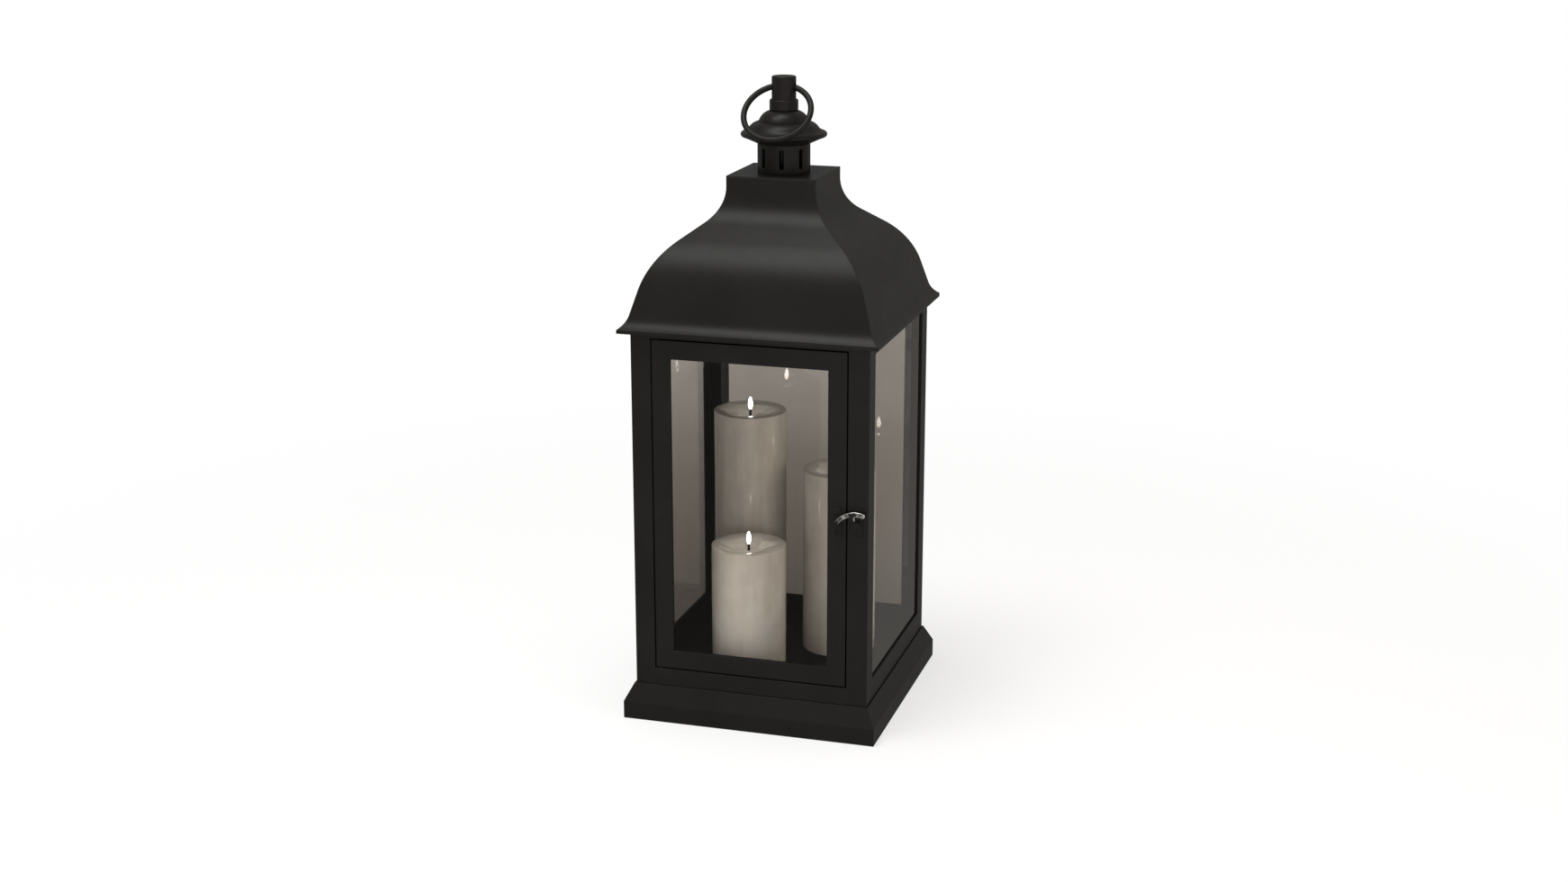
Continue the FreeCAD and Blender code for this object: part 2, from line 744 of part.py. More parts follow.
def draw_ogee(sketch, inset):
    """Neck, hollow, slope, shoulder, wall and flare as tangent lines and arcs, inset from the outer face.
    Returns the index of each piece of the curve by name."""
    hollow, shoulder, flare = ogee_centres()
    slope = above(s.slope_angle.value)
    wall = above(s.wall_angle.value)
    neck_radius = s.neck_radius + inset
    shoulder_radius = s.shoulder_radius - inset
    flare_radius = s.flare_radius + inset
    neck_foot = hollow - FreeCAD.Vector(neck_radius.value, 0, 0)
    neck_top = FreeCAD.Vector(neck_foot.x, plate_bottom.value, 0)
    slope_top = hollow - slope * neck_radius.value
    slope_foot = shoulder + slope * shoulder_radius.value
    wall_top = shoulder + wall * shoulder_radius.value
    wall_foot = flare - wall * flare_radius.value
    reach = (eave_half - inset - flare.x).value
    flare_foot = flare + FreeCAD.Vector(reach, -math.sqrt(flare_radius.value ** 2 - reach ** 2), 0)
    pieces = [
        ("neck", Part.LineSegment(neck_top, neck_foot)),
        ("hollow", arc_between(hollow, neck_foot, slope_top)),
        ("slope", Part.LineSegment(slope_foot, slope_top)),
        ("shoulder", arc_between(shoulder, wall_top, slope_foot)),
        ("wall", Part.LineSegment(wall_foot, wall_top)),
        ("flare", arc_between(flare, wall_foot, flare_foot)),
    ]
    index = {name: sketch.addGeometry(shape) for name, shape in pieces}
    joints = [("neck", 2, "hollow", 1), ("hollow", 2, "slope", 2), ("slope", 1, "shoulder", 2),
              ("shoulder", 1, "wall", 2), ("wall", 1, "flare", 1)]
    for first, first_end, second, second_end in joints:
        sketch.addConstraint(
            Sketcher.Constraint("Tangent", index[first], first_end, index[second], second_end))
    sketch.addConstraint(Sketcher.Constraint("Vertical", index["neck"]))
    for name, radius in (("hollow", neck_radius), ("shoulder", shoulder_radius), ("flare", flare_radius)):
        bind(sketch, Sketcher.Constraint("Radius", index[name], radius.value), radius)
    height = Sketcher.Constraint("DistanceY", -1, 1, index["neck"], 1, plate_bottom.value)
    bind(sketch, height, plate_bottom)
    return index


def draw_panel(sketch):
    """The section of a roof panel: the ogee with its inner face, and the folded eaves that seat on the ring."""
    outer = draw_ogee(sketch, ZERO)
    inner = draw_ogee(sketch, s.sheet)
    for name in ("hollow", "shoulder", "flare"):
        sketch.addConstraint(Sketcher.Constraint("Coincident", outer[name], 3, inner[name], 3))
    neck_half = s.neck_width / 2
    neck_foot = roof_top - s.neck_height
    bind(sketch, Sketcher.Constraint("DistanceX", -1, 1, outer["neck"], 1, neck_half.value), neck_half)
    bind(sketch, Sketcher.Constraint("DistanceY", -1, 1, outer["neck"], 2, neck_foot.value), neck_foot)
    for name, fall in (("slope", s.slope_angle), ("wall", s.wall_angle)):
        angle = Size(180.0, "180") - fall
        bind(sketch, Sketcher.Constraint("Angle", outer[name], math.radians(angle.value)), angle)
    flare_x = eave_half + s.flare_radius * sine(s.flare_angle)
    bind(sketch, Sketcher.Constraint("DistanceX", -1, 1, outer["flare"], 3, flare_x.value), flare_x)
    lip_inner = eave_half - s.sheet
    bind(sketch, Sketcher.Constraint("DistanceX", -1, 1, inner["flare"], 2, lip_inner.value), lip_inner)

    upstand = body_half + s.seat_gap
    seat_end = upstand - s.seat_width
    folded = [
        (eave_half, eave_bottom + s.eave_lip),
        (eave_half, eave_bottom),
        (upstand, eave_bottom),
        (upstand, body_top),
        (seat_end, body_top),
        (seat_end, body_top + s.sheet),
        (upstand + s.sheet, body_top + s.sheet),
        (upstand + s.sheet, eave_bottom + s.sheet),
        (lip_inner, eave_bottom + s.sheet),
    ]
    corners = [vector(corner) for corner in folded]
    corners.append(sketch.getPoint(inner["flare"], 2))
    first = sketch.GeometryCount
    for start, end in zip(corners, corners[1:]):
        sketch.addGeometry(Part.LineSegment(start, end))
    last = sketch.GeometryCount - 1
    for index in range(first, last):
        sketch.addConstraint(Sketcher.Constraint("Coincident", index, 2, index + 1, 1))
    for offset, corner in enumerate(folded):
        pin(sketch, first + offset, 1, corner)
    sketch.addConstraint(Sketcher.Constraint("Coincident", outer["flare"], 2, first, 1))
    sketch.addConstraint(Sketcher.Constraint("Coincident", last, 2, inner["flare"], 2))
    neck_ends = sketch.getPoint(inner["neck"], 1), sketch.getPoint(outer["neck"], 1)
    top = sketch.addGeometry(Part.LineSegment(*neck_ends))
    sketch.addConstraint(Sketcher.Constraint("Coincident", top, 1, inner["neck"], 1))
    sketch.addConstraint(Sketcher.Constraint("Coincident", top, 2, outer["neck"], 1))


def make_roof():
    for side, turn in SIDES:
        body = new_body("roof_panel_" + side)
        sketch = new_sketch(body, "XZ")
        draw_panel(sketch)
        pad(body, sketch, eave_half * 2, side="Symmetric")
        cut_mitres(body, eave_half)
        place(body, axis=UP, turn=turn)
    body = new_body("roof_top_plate")
    sketch = new_sketch(body, "XY", plate_bottom)
    square(sketch, s.neck_width / 2)
    circle(sketch, (ZERO, ZERO), s.bolt_radius + s.bolt_gap)
    pad(body, sketch, s.sheet)
    vent = new_sketch(body, "XY", plate_bottom)
    circle(vent, (s.vent_circle, ZERO), s.vent_radius)
    polar(body, pocket(body, vent, s.sheet, reverse=True), VENT_COUNT)


# Chimney, stem and carrying ring

def make_chimney():
    bolt_hole = s.bolt_radius + s.bolt_gap
    tube_inner = s.tube_radius - s.sheet
    tube = new_body("chimney_tube")
    ring = new_sketch(tube, "XY")
    circle(ring, (ZERO, ZERO), s.tube_radius)
    circle(ring, (ZERO, ZERO), tube_inner)
    pad(tube, ring, s.tube_height)
    slot = new_sketch(tube, "XZ")
    obround(slot, (ZERO, s.slot_rise), s.slot_width, s.slot_height)
    polar(tube, pocket(tube, slot, s.tube_radius * 1.5, reverse=True), SLOT_COUNT)
    place(tube, z=roof_top, axis=UP, turn=s.slot_turn.value)

    rim_half = s.cap_rim / 2
    rim_inner = s.cap_radius - rim_half
    rim_top = s.cap_rise + s.cap_rim
    cap = turned("chimney_cap", [
        (tube_inner, ZERO),
        (s.tube_radius, ZERO),
        (rim_inner, s.cap_rise, rim_half),
        (rim_inner, rim_top, s.cap_hollow, "left"),
        (s.cap_waist_radius, s.cap_waist_rise, s.cap_round),
        (s.cap_crown_radius, s.cap_height),
        (bolt_hole, s.cap_height),
        (bolt_hole, s.cap_height - s.sheet),
        (s.cap_crown_radius - s.sheet, s.cap_height - s.sheet),
        (rim_inner - s.sheet, rim_top - s.sheet),
        (rim_inner - s.sheet, s.cap_rise + s.sheet),
        (tube_inner, s.sheet),
    ])
    place(cap, z=tube_top)

    dome = turned("cap_dome", [
        (s.dome_radius - s.sheet, ZERO),
        (s.dome_radius, ZERO, s.dome_round),
        (s.dome_top_radius, s.dome_height),
        (bolt_hole, s.dome_height),
        (bolt_hole, s.dome_height - s.sheet),
        (s.dome_top_radius - s.sheet, s.dome_height - s.sheet, s.dome_round, "left"),
    ])
    place(dome, z=cap_top)

    collar = turned("stem_collar", [
        (s.stem_radius + s.pin_gap, ZERO),
        (s.collar_radius - s.collar_round, ZERO, s.collar_round),
        (s.collar_radius, s.collar_round),
        (s.collar_radius, s.collar_height - s.collar_round, s.collar_round),
        (s.collar_radius - s.collar_round, s.collar_height),
        (s.stem_radius + s.pin_gap, s.collar_height),
    ])
    place(collar, z=stem_bottom)

    thread = s.bolt_radius + s.pin_gap
    grip = s.bolt_grip + s.bolt_gap
    stem = turned("ring_stem", [
        (thread, ZERO),
        (s.stem_radius, ZERO),
        (s.stem_radius, s.stem_height - s.stem_round, s.stem_round),
        (s.stem_radius - s.stem_round, s.stem_height),
        (ZERO, s.stem_height),
        (ZERO, grip),
        (thread, grip),
    ])
    eye = new_sketch(stem, "YZ")
    circle(eye, (ZERO, s.ring_eye_rise), s.ring_eye)
    pocket(stem, eye, side="Symmetric")
    place(stem, z=stem_bottom)

    bolt_top = stem_bottom + s.bolt_grip - plate_bottom
    bolt = turned("tie_bolt", [
        (ZERO, -s.bolt_head_height),
        (s.bolt_head, -s.bolt_head_height),
        (s.bolt_head, ZERO),
        (s.bolt_radius, ZERO),
        (s.bolt_radius, bolt_top),
        (ZERO, bolt_top),
    ])
    place(bolt, z=plate_bottom)


def make_carry_ring():
    ring = doc.addObject("Part::Torus", "carry_ring")
    ring.Label = "carry_ring"
    ring.setExpression("Radius1", s.ring_radius.formula)
    ring.setExpression("Radius2", s.ring_wire.formula)
    drop = s.ring_radius - s.ring_slack
    place(ring, y=-drop * sine(s.ring_lean), z=stem_bottom + s.ring_eye_rise - drop * cosine(s.ring_lean),
          axis=ACROSS, turn=90 - s.ring_lean.value)
    nodes.append(ring)


# Door and latch

def make_door():
    body = new_body("door_frame")
    back = body_half - s.door_depth
    strip = s.door_strip
    wall = s.sheet

    def frame_sketch(lift, outer_inset, inner_inset):
        """Two nested rectangles on an upright plane: the door's outline and its window, each inset."""
        sketch = new_sketch(body, "XZ", lift)
        rectangle(sketch, outer_inset - door_half, door_half - outer_inset,
                  door_bottom + outer_inset, door_top - outer_inset)
        rectangle(sketch, inner_inset - door_half, door_half - inner_inset,
                  door_bottom + inner_inset, door_top - inner_inset)
        return sketch

    pad(body, frame_sketch(back, ZERO, strip), s.door_depth)
    pocket(body, frame_sketch(back, wall, strip), s.door_depth - s.glass_recess, reverse=True)
    pocket(body, frame_sketch(back, wall, strip - wall), s.door_depth - wall, reverse=True)
    drill_hinge(body, hinge_x, hinge_y)
    screws = new_sketch(body, "XZ", body_half)
    for rise in (-s.screw_spacing / 2, s.screw_spacing / 2):
        circle(screws, (latch_x, s.latch_height + rise), s.screw_radius + s.bolt_gap)
    pocket(body, screws, wall * 2)


def make_hinge_pins():
    """A stepped pin in the sill that the door stands on, and a headed pin down through the lintel."""
    body = new_body("hinge_pins")
    sketch = new_sketch(body, "XZ")
    shoulder = doorway_bottom + s.door_gap - s.seat_gap
    head = doorway_top + s.sheet
    outline(sketch, [
        (ZERO, doorway_bottom - s.sheet - s.pin_reach),
        (s.pin_radius, doorway_bottom - s.sheet - s.pin_reach),
        (s.pin_radius, doorway_bottom),
        (s.pin_head, doorway_bottom),
        (s.pin_head, shoulder),
        (s.pin_radius, shoulder),
        (s.pin_radius, door_bottom + s.sheet + s.pin_reach),
        (ZERO, door_bottom + s.sheet + s.pin_reach),
    ])
    outline(sketch, [
        (ZERO, door_top - s.sheet - s.pin_reach),
        (s.pin_radius, door_top - s.sheet - s.pin_reach),
        (s.pin_radius, head),
        (s.pin_head, head),
        (s.pin_head, head + s.sheet),
        (ZERO, head + s.sheet),
    ])
    revolve(body, sketch)
    place(body, hinge_x, hinge_y)


def on_front(body, x):
    """Stands a piece drawn flat, with its outer side up, against the front face at the latch's height."""
    place(body, x, -body_half, s.latch_height, axis=ACROSS, turn=90)


def make_plate(label, x):
    body = new_body(label)
    sketch = new_sketch(body, "XY")
    obround(sketch, (ZERO, ZERO), s.plate_width, s.plate_length)
    for rise in (-s.screw_spacing / 2, s.screw_spacing / 2):
        circle(sketch, (ZERO, rise), s.screw_radius + s.bolt_gap)
    pad(body, sketch, s.sheet)
    on_front(body, x)
    return body


def add_post(body, centre, radius, foot, height):
    sketch = new_sketch(body, "XY", foot)
    circle(sketch, centre, radius)
    pad(body, sketch, height)


def make_screws(label, x):
    dome = (s.screw_head * s.screw_head + s.screw_rise * s.screw_rise) / (s.screw_rise * 2)
    body = turned(label, [
        (ZERO, s.sheet - s.screw_length),
        (s.screw_radius, s.sheet - s.screw_length),
        (s.screw_radius, s.sheet),
        (s.screw_head, s.sheet, dome),
        (ZERO, s.sheet + s.screw_rise),
    ])
    repeat(body, body.Tip, "Y", s.screw_spacing, 2)
    place(body, x, -body_half, s.latch_height - s.screw_spacing / 2, axis=ACROSS, turn=90)


def make_latch():
    """The lever turns on a post on the door's plate, and its tooth drops beside a peg on the frame's plate."""
    lever_back = s.sheet + s.lever_lift
    boss_top = lever_back - s.seat_gap
    post_top = lever_back + s.lever_thickness + s.seat_gap
    latch = make_plate("latch_plate", latch_x)
    add_post(latch, (ZERO, ZERO), s.pivot_boss, ZERO, boss_top)
    add_post(latch, (ZERO, ZERO), s.pivot_radius, ZERO, post_top)
    add_post(latch, (ZERO, ZERO), s.pivot_boss, post_top, s.pivot_head)
    catch = make_plate("catch_plate", catch_x)
    add_post(catch, (ZERO, s.peg_rise), s.peg_radius, ZERO, s.sheet + s.peg_length)
    make_screws("latch_screws", latch_x)
    make_screws("catch_screws", catch_x)

    body = new_body("latch_lever")
    knob = FreeCAD.Vector(s.lever_span.value, s.lever_rise.value, 0)
    half_band = s.lever_band / 2
    across = FreeCAD.Vector(-knob.y, knob.x, 0).normalize()
    depth = math.sqrt(s.lever_radius.value ** 2 - (knob.Length / 2) ** 2)
    centre = knob * 0.5 - across * depth
    arm = new_sketch(body, "XY", lever_back)
    ends = []
    for radius in (s.lever_radius + half_band, s.lever_radius - half_band):
        to_knob = (knob - centre).normalize() * radius.value
        to_post = (FreeCAD.Vector() - centre).normalize() * radius.value
        curve = arm.addGeometry(arc_between(centre, centre + to_knob, centre + to_post))
        bind(arm, Sketcher.Constraint("Radius", curve, radius.value), radius)
        ends.append((curve, centre + to_knob, centre + to_post))
    outer = ends[0][0]
    inner = ends[1][0]
    arm.addConstraint(Sketcher.Constraint("Coincident", outer, 3, inner, 3))
    knob_point = arm.addGeometry(Part.Point(knob), True)
    pin(arm, knob_point, 1, (s.lever_span, s.lever_rise))
    for end, middle in ((1, knob_point), (2, -1)):
        line = arm.addGeometry(Part.LineSegment(ends[0][end], ends[1][end]))
        arm.addConstraint(Sketcher.Constraint("Coincident", line, 1, outer, end))
        arm.addConstraint(Sketcher.Constraint("Coincident", line, 2, inner, end))
        arm.addConstraint(Sketcher.Constraint("PointOnObject", outer, 3, line))
        arm.addConstraint(Sketcher.Constraint("Symmetric", outer, end, inner, end, middle, 1))
    pad(body, arm, s.lever_thickness)
    for place_of, radius in (((ZERO, ZERO), s.lever_hub), ((s.lever_span, s.lever_rise), s.lever_knob)):
        add_post(body, place_of, radius, lever_back, s.lever_thickness)
    tooth = new_sketch(body, "XY", lever_back)
    outline(tooth, [
        (s.tooth_reach - s.tooth_tip, s.tooth_rise),
        (s.tooth_reach, s.tooth_rise),
        (s.tooth_reach, s.lever_rise),
        (s.tooth_reach - s.tooth_root, s.lever_rise),
    ])
    pad(body, tooth, s.lever_thickness)
    hub = new_sketch(body, "XY")
    circle(hub, (ZERO, ZERO), s.pivot_radius + s.pin_gap)
    pocket(body, hub, side="Symmetric")
    on_front(body, latch_x)


# Candles

def make_candle(name, x, y, height):
    """A hollow wax pillar with a melted dish, a wick with a glowing flame, and a battery case in its foot."""
    bore = s.candle_radius - s.wax_wall
    case_radius = bore - s.case_gap
    ceiling = height - s.wax_top
    dish_edge = s.candle_radius - s.lip_width
    dish_floor = height - s.dish_depth
    wick_hole = s.wick_radius + s.pin_gap
    wax = turned(name + "_wax", [
        (bore, ZERO),
        (s.candle_radius, ZERO),
        (s.candle_radius, height - s.wax_edge, s.wax_edge),
        (s.candle_radius - s.wax_edge, height),
        (dish_edge, height),
        (dish_edge - s.dish_slope, dish_floor),
        (wick_hole, dish_floor),
        (wick_hole, ceiling),
        (bore, ceiling),
    ])
    wick = turned(name + "_wick", [
        (ZERO, ceiling - s.wick_foot_height),
        (s.wick_foot, ceiling - s.wick_foot_height),
        (s.wick_foot, ceiling),
        (s.wick_radius, ceiling),
        (s.wick_radius, height),
        (ZERO, height),
    ])
    flame_side = [(s.flame_radius * share, height + s.flame_height * rise) for share, rise in FLAME_SHAPE]
    flame = turned(name + "_flame", [(ZERO, height), (s.wick_radius, height)] + flame_side + [
        (ZERO, height + s.flame_height),
    ])

    bay_length = s.cell_length + s.nub_length + s.cell_gap * 2
    bay_width = s.cell_radius * 4 + s.cell_gap * 3
    case_top = s.case_lift + s.case_height
    case = new_body(name + "_battery_case")
    disc = new_sketch(case, "XY", s.case_lift)
    circle(disc, (ZERO, ZERO), case_radius)
    pad(case, disc, s.case_height)
    bay = new_sketch(case, "XY", s.case_lift)
    rectangle(bay, -bay_length / 2, bay_length / 2, -bay_width / 2, bay_width / 2)
    pocket(case, bay, s.case_height - s.case_roof, reverse=True)
    slot = new_sketch(case, "XY", s.case_lift)
    switch_back = -s.switch_length / 2 - s.switch_travel / 2
    slot_back = switch_back - s.case_gap
    slot_half = s.switch_width / 2 + s.case_gap
    rectangle(slot, slot_back, -slot_back, s.switch_offset - slot_half, s.switch_offset + slot_half)
    pocket(case, slot, s.switch_height + s.case_gap, reverse=True)

    cell_height = case_top - s.case_roof - s.cell_gap - s.cell_radius
    cell_y = s.cell_radius + s.cell_gap / 2
    cell_start = -(s.cell_length + s.nub_length) / 2
    cell_end = cell_start + s.cell_length
    cells = new_body(name + "_cells")
    half = new_sketch(cells, "XY", cell_height)
    outline(half, [
        (cell_start, cell_y),
        (cell_end + s.nub_length, cell_y),
        (cell_end + s.nub_length, cell_y + s.nub_radius),
        (cell_end, cell_y + s.nub_radius),
        (cell_end, cell_y + s.cell_radius),
        (cell_start, cell_y + s.cell_radius),
    ])
    polar(cells, revolve(cells, half, axis="Edge1"), 2)

    cover = new_body(name + "_cover")
    lid = new_sketch(cover, "XY", s.case_lift)
    lid_length = bay_length / 2 - s.case_gap
    lid_width = bay_width / 2 - s.case_gap
    rectangle(lid, -lid_length, lid_length, -lid_width, lid_width)
    pad(cover, lid, s.cover_thickness)
    notch = new_sketch(cover, "XY", s.case_lift)
    circle(notch, (lid_length, ZERO), s.notch_radius)
    pocket(cover, notch, s.cover_thickness, reverse=True)

    switch = new_body(name + "_switch")
    slider = new_sketch(switch, "XY", s.case_lift)
    rectangle(slider, switch_back, switch_back + s.switch_length,
              s.switch_offset - s.switch_width / 2, s.switch_offset + s.switch_width / 2)
    pad(switch, slider, s.switch_height)
    for piece in (wax, wick, flame, case, cells, cover, switch):
        place(piece, x, y, floor_top)


# The whole lantern

make_plinth()
make_floor()
make_posts()
make_sills()
make_top_ring()
make_panes()
make_clips("pane_clips", pane_half,
           [("x", 1, 1), ("x", 1, -1), ("x", -1, 1), ("x", -1, -1), ("y", 1, 1), ("y", 1, -1)],
           pane_bottom, pane_top)
make_roof()
make_chimney()
make_carry_ring()
make_door()
make_clips("door_pane_clips", door_pane_half, [("y", -1, 1), ("y", -1, -1)], door_pane_bottom, door_pane_top)
make_hinge_pins()
make_latch()
make_candle("candle_front", s.front_candle_x, s.front_candle_y, s.front_candle_height)
make_candle("candle_right", s.right_candle_x, s.right_candle_y, s.right_candle_height)
make_candle("candle_tall", s.tall_candle_x, s.tall_candle_y, s.tall_candle_height)
doc.recompute()

failed = [item.Label for item in doc.Objects if "Invalid" in item.State or "Error" in item.State]
if failed:
    raise RuntimeError("objects that failed: " + ", ".join(failed))
for node in nodes:
    if node.Shape.isNull() or not node.Shape.isValid() or not node.Shape.Solids:
        raise RuntimeError("no valid solid in " + node.Label)

os.makedirs("parts", exist_ok=True)
for node in nodes:
    node.Shape.exportStep("parts/%s.step" % node.Label)
whole = FreeCAD.BoundBox()
for node in nodes:
    whole.add(node.Shape.BoundBox)
print("%d pieces, %.1f x %.1f x %.1f mm" % (len(nodes), whole.XLength, whole.YLength, whole.ZLength))
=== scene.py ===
# %% [markdown]
# # A candle lantern, dressed for its picture
#
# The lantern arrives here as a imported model: sixty named pieces in metres, already in their places and
# already tied to the bodies that move. This lesson gives it a camera, a studio, honest materials, and finer
# versions of the few pieces whose real shape is softer than a machined solid: the wax, the flames and the
# latch lever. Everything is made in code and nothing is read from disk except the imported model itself.

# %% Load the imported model
import math

import bpy
import bmesh
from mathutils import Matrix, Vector, noise


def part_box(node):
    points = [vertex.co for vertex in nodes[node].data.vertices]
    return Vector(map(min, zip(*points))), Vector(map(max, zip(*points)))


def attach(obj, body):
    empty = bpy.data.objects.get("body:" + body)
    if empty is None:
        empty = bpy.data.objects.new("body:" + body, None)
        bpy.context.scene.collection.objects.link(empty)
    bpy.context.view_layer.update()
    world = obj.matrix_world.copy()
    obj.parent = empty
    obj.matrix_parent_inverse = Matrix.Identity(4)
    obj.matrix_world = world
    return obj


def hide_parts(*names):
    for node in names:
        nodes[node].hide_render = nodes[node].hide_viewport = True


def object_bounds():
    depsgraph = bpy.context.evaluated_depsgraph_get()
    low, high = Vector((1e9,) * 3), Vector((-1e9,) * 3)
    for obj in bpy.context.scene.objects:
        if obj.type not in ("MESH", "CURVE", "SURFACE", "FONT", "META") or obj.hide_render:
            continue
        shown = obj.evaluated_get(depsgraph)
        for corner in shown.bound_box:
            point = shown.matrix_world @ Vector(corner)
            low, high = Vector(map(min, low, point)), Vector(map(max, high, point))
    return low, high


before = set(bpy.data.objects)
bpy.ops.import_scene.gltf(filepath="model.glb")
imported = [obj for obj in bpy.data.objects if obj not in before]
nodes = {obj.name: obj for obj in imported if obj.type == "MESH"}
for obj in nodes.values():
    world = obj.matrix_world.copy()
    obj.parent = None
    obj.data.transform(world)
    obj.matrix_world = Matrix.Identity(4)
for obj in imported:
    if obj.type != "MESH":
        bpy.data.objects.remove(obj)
cad_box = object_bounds()

# %% [markdown]
# ## The camera
#
# The picture was taken from the front, a little to the right and well above the roof's eave, with a normal
# lens. The corners of the plinth, the eave and the door frame were matched to find where the camera stood.
# A position, a turn and a tilt say the same as a camera that tracks a target, with nothing left to adjust,
# so the three are simply written down.

# %% Camera
CAMERA_PLACE = (0.6045, -2.0314, 0.8537)
CAMERA_TURN = 16.57
CAMERA_TILT = 15.66
LENS_MM = 50.86
SENSOR_MM = 36.0

scene = bpy.context.scene
camera_data = bpy.data.cameras.new("picture_camera")
camera_data.sensor_fit = "HORIZONTAL"
camera_data.sensor_width = SENSOR_MM
camera_data.lens = LENS_MM
camera = bpy.data.objects.new("picture_camera", camera_data)
camera.location = CAMERA_PLACE
camera.rotation_euler = (math.radians(90.0 - CAMERA_TILT), 0.0, math.radians(CAMERA_TURN))
scene.collection.objects.link(camera)
scene.camera = camera
scene.view_settings.view_transform = "Standard"
print("camera at", CAMERA_PLACE, "lens", LENS_MM, "mm")

# %% [markdown]
# ## Small helpers for materials
#
# Colours are written as the hex values that a colour picker shows, and the shader works in linear light, so
# one function turns the one into the other. Every node in this file is added by one other function: it takes
# the kind of node, the node's own settings, and what goes into its sockets. A socket of another node is
# linked and any other value is typed in. Textures are measured on the object in metres, and `per_mm` turns
# the size of a pattern in millimetres into the scale that a texture node expects.

# %% Helpers for materials
def linear(hex_colour):
    """The linear colour of an sRGB hex value, with full alpha."""
    parts = [int(hex_colour[i:i + 2], 16) / 255.0 for i in (1, 3, 5)]
    curve = [p / 12.92 if p <= 0.04045 else ((p + 0.055) / 1.055) ** 2.4 for p in parts]
    return (*curve, 1.0)


def add(tree, kind, inputs=None, stops=(), **settings):
    """Adds one node, sets its properties and its colour stops, and links or sets each of its inputs."""
    made = tree.nodes.new(kind)
    for key, value in settings.items():
        setattr(made, key, value)
    for index, (position, hex_colour) in enumerate(stops):
        element = made.color_ramp.elements[index] if index < 2 else made.color_ramp.elements.new(position)
        element.position = position
        element.color = linear(hex_colour)
    for key, value in (inputs or {}).items():
        if isinstance(value, bpy.types.NodeSocket):
            tree.links.new(value, made.inputs[key])
        else:
            made.inputs[key].default_value = value
    return made


def per_mm(size):
    """The texture scale at which one feature of the pattern is this many millimetres."""
    return 1000.0 / size


def new_material(name):
    """An empty material: itself, its tree, the socket for its surface, and the coordinates of the object."""
    material = bpy.data.materials.new(name)
    material.use_nodes = True
    tree = material.node_tree
    tree.nodes.clear()
    output = add(tree, "ShaderNodeOutputMaterial")
    place = add(tree, "ShaderNodeTexCoord")
    return material, tree, output.inputs["Surface"], place


print("a pattern of 2 mm has a scale of", per_mm(2.0))

# %% [markdown]
# ## The studio: floor and background
#
# The object stands on a plain pale floor in front of white. The floor could be lit until it clips, but that
# would bleach the wax as well. Instead the floor glows for the rays that look at it (straight, in a gloss or
# through glass), and near the lantern it glows less and has paint of its own, which holds the soft shadow.
# A ray that has already bounced off a matt surface is there to light it, and for that ray this is an
# ordinary pale floor. The world does the same: white to look at, and a gentle fill for everything else.

# %% Floor
FLOOR_SIZE = 30.0
FLOOR_GAP = 0.0004
SHADOW_REACH = (0.35, 1.3)


def looked_at(tree):
    """1 for rays that look at a surface, straight, in a gloss or through glass; 0 for rays that light it."""
    path = add(tree, "ShaderNodeLightPath").outputs
    open_view = add(tree, "ShaderNodeMath",
                    {0: path["Is Camera Ray"], 1: path["Is Glossy Ray"]}, operation="MAXIMUM")
    any_view = add(tree, "ShaderNodeMath",
                   {0: open_view.outputs[0], 1: path["Is Transmission Ray"]}, operation="MAXIMUM")
    no_matt_bounce = add(tree, "ShaderNodeMath", {0: path["Diffuse Depth"], 1: 0.5}, operation="LESS_THAN")
    looks = add(tree, "ShaderNodeMath",
                {0: any_view.outputs[0], 1: no_matt_bounce.outputs[0]}, operation="MULTIPLY")
    return looks.outputs[0]


floor_paint, tree, surface, place = new_material("white_studio_floor")
plain = add(tree, "ShaderNodeBsdfDiffuse", {"Color": linear("#e4e2df")})
away = add(tree, "ShaderNodeVectorMath", {0: place.outputs["Object"]}, operation="LENGTH")
fade = add(tree, "ShaderNodeMapRange",
           {"Value": away.outputs["Value"], "From Min": SHADOW_REACH[0], "From Max": SHADOW_REACH[1]},
           interpolation_type="SMOOTHSTEP")
paint = add(tree, "ShaderNodeValToRGB", {"Fac": fade.outputs[0]},
            stops=[(0.0, "#8e8e8e"), (1.0, "#000000")])
light = add(tree, "ShaderNodeValToRGB", {"Fac": fade.outputs[0]},
            stops=[(0.0, "#d2d2d2"), (1.0, "#ffffff")])
shade = add(tree, "ShaderNodeBsdfDiffuse", {"Color": paint.outputs["Color"]})
glow = add(tree, "ShaderNodeEmission", {"Color": light.outputs["Color"], "Strength": 1.0})
seen = add(tree, "ShaderNodeAddShader", {0: shade.outputs[0], 1: glow.outputs[0]})
mix = add(tree, "ShaderNodeMixShader", {0: looked_at(tree), 1: plain.outputs[0], 2: seen.outputs[0]})
tree.links.new(mix.outputs[0], surface)

half = FLOOR_SIZE / 2
floor_corners = [(-half, -half, 0), (half, -half, 0), (half, half, 0), (-half, half, 0)]
floor_mesh = bpy.data.meshes.new("studio_floor")
floor_mesh.from_pydata(floor_corners, [], [(0, 1, 2, 3)])
floor_mesh.materials.append(floor_paint)
floor = bpy.data.objects.new("studio_floor", floor_mesh)
floor.location.z = cad_box[0][2] - FLOOR_GAP
scene.collection.objects.link(floor)
print("floor", FLOOR_SIZE, "m wide")

# %% World
WORLD_FILL = 0.62

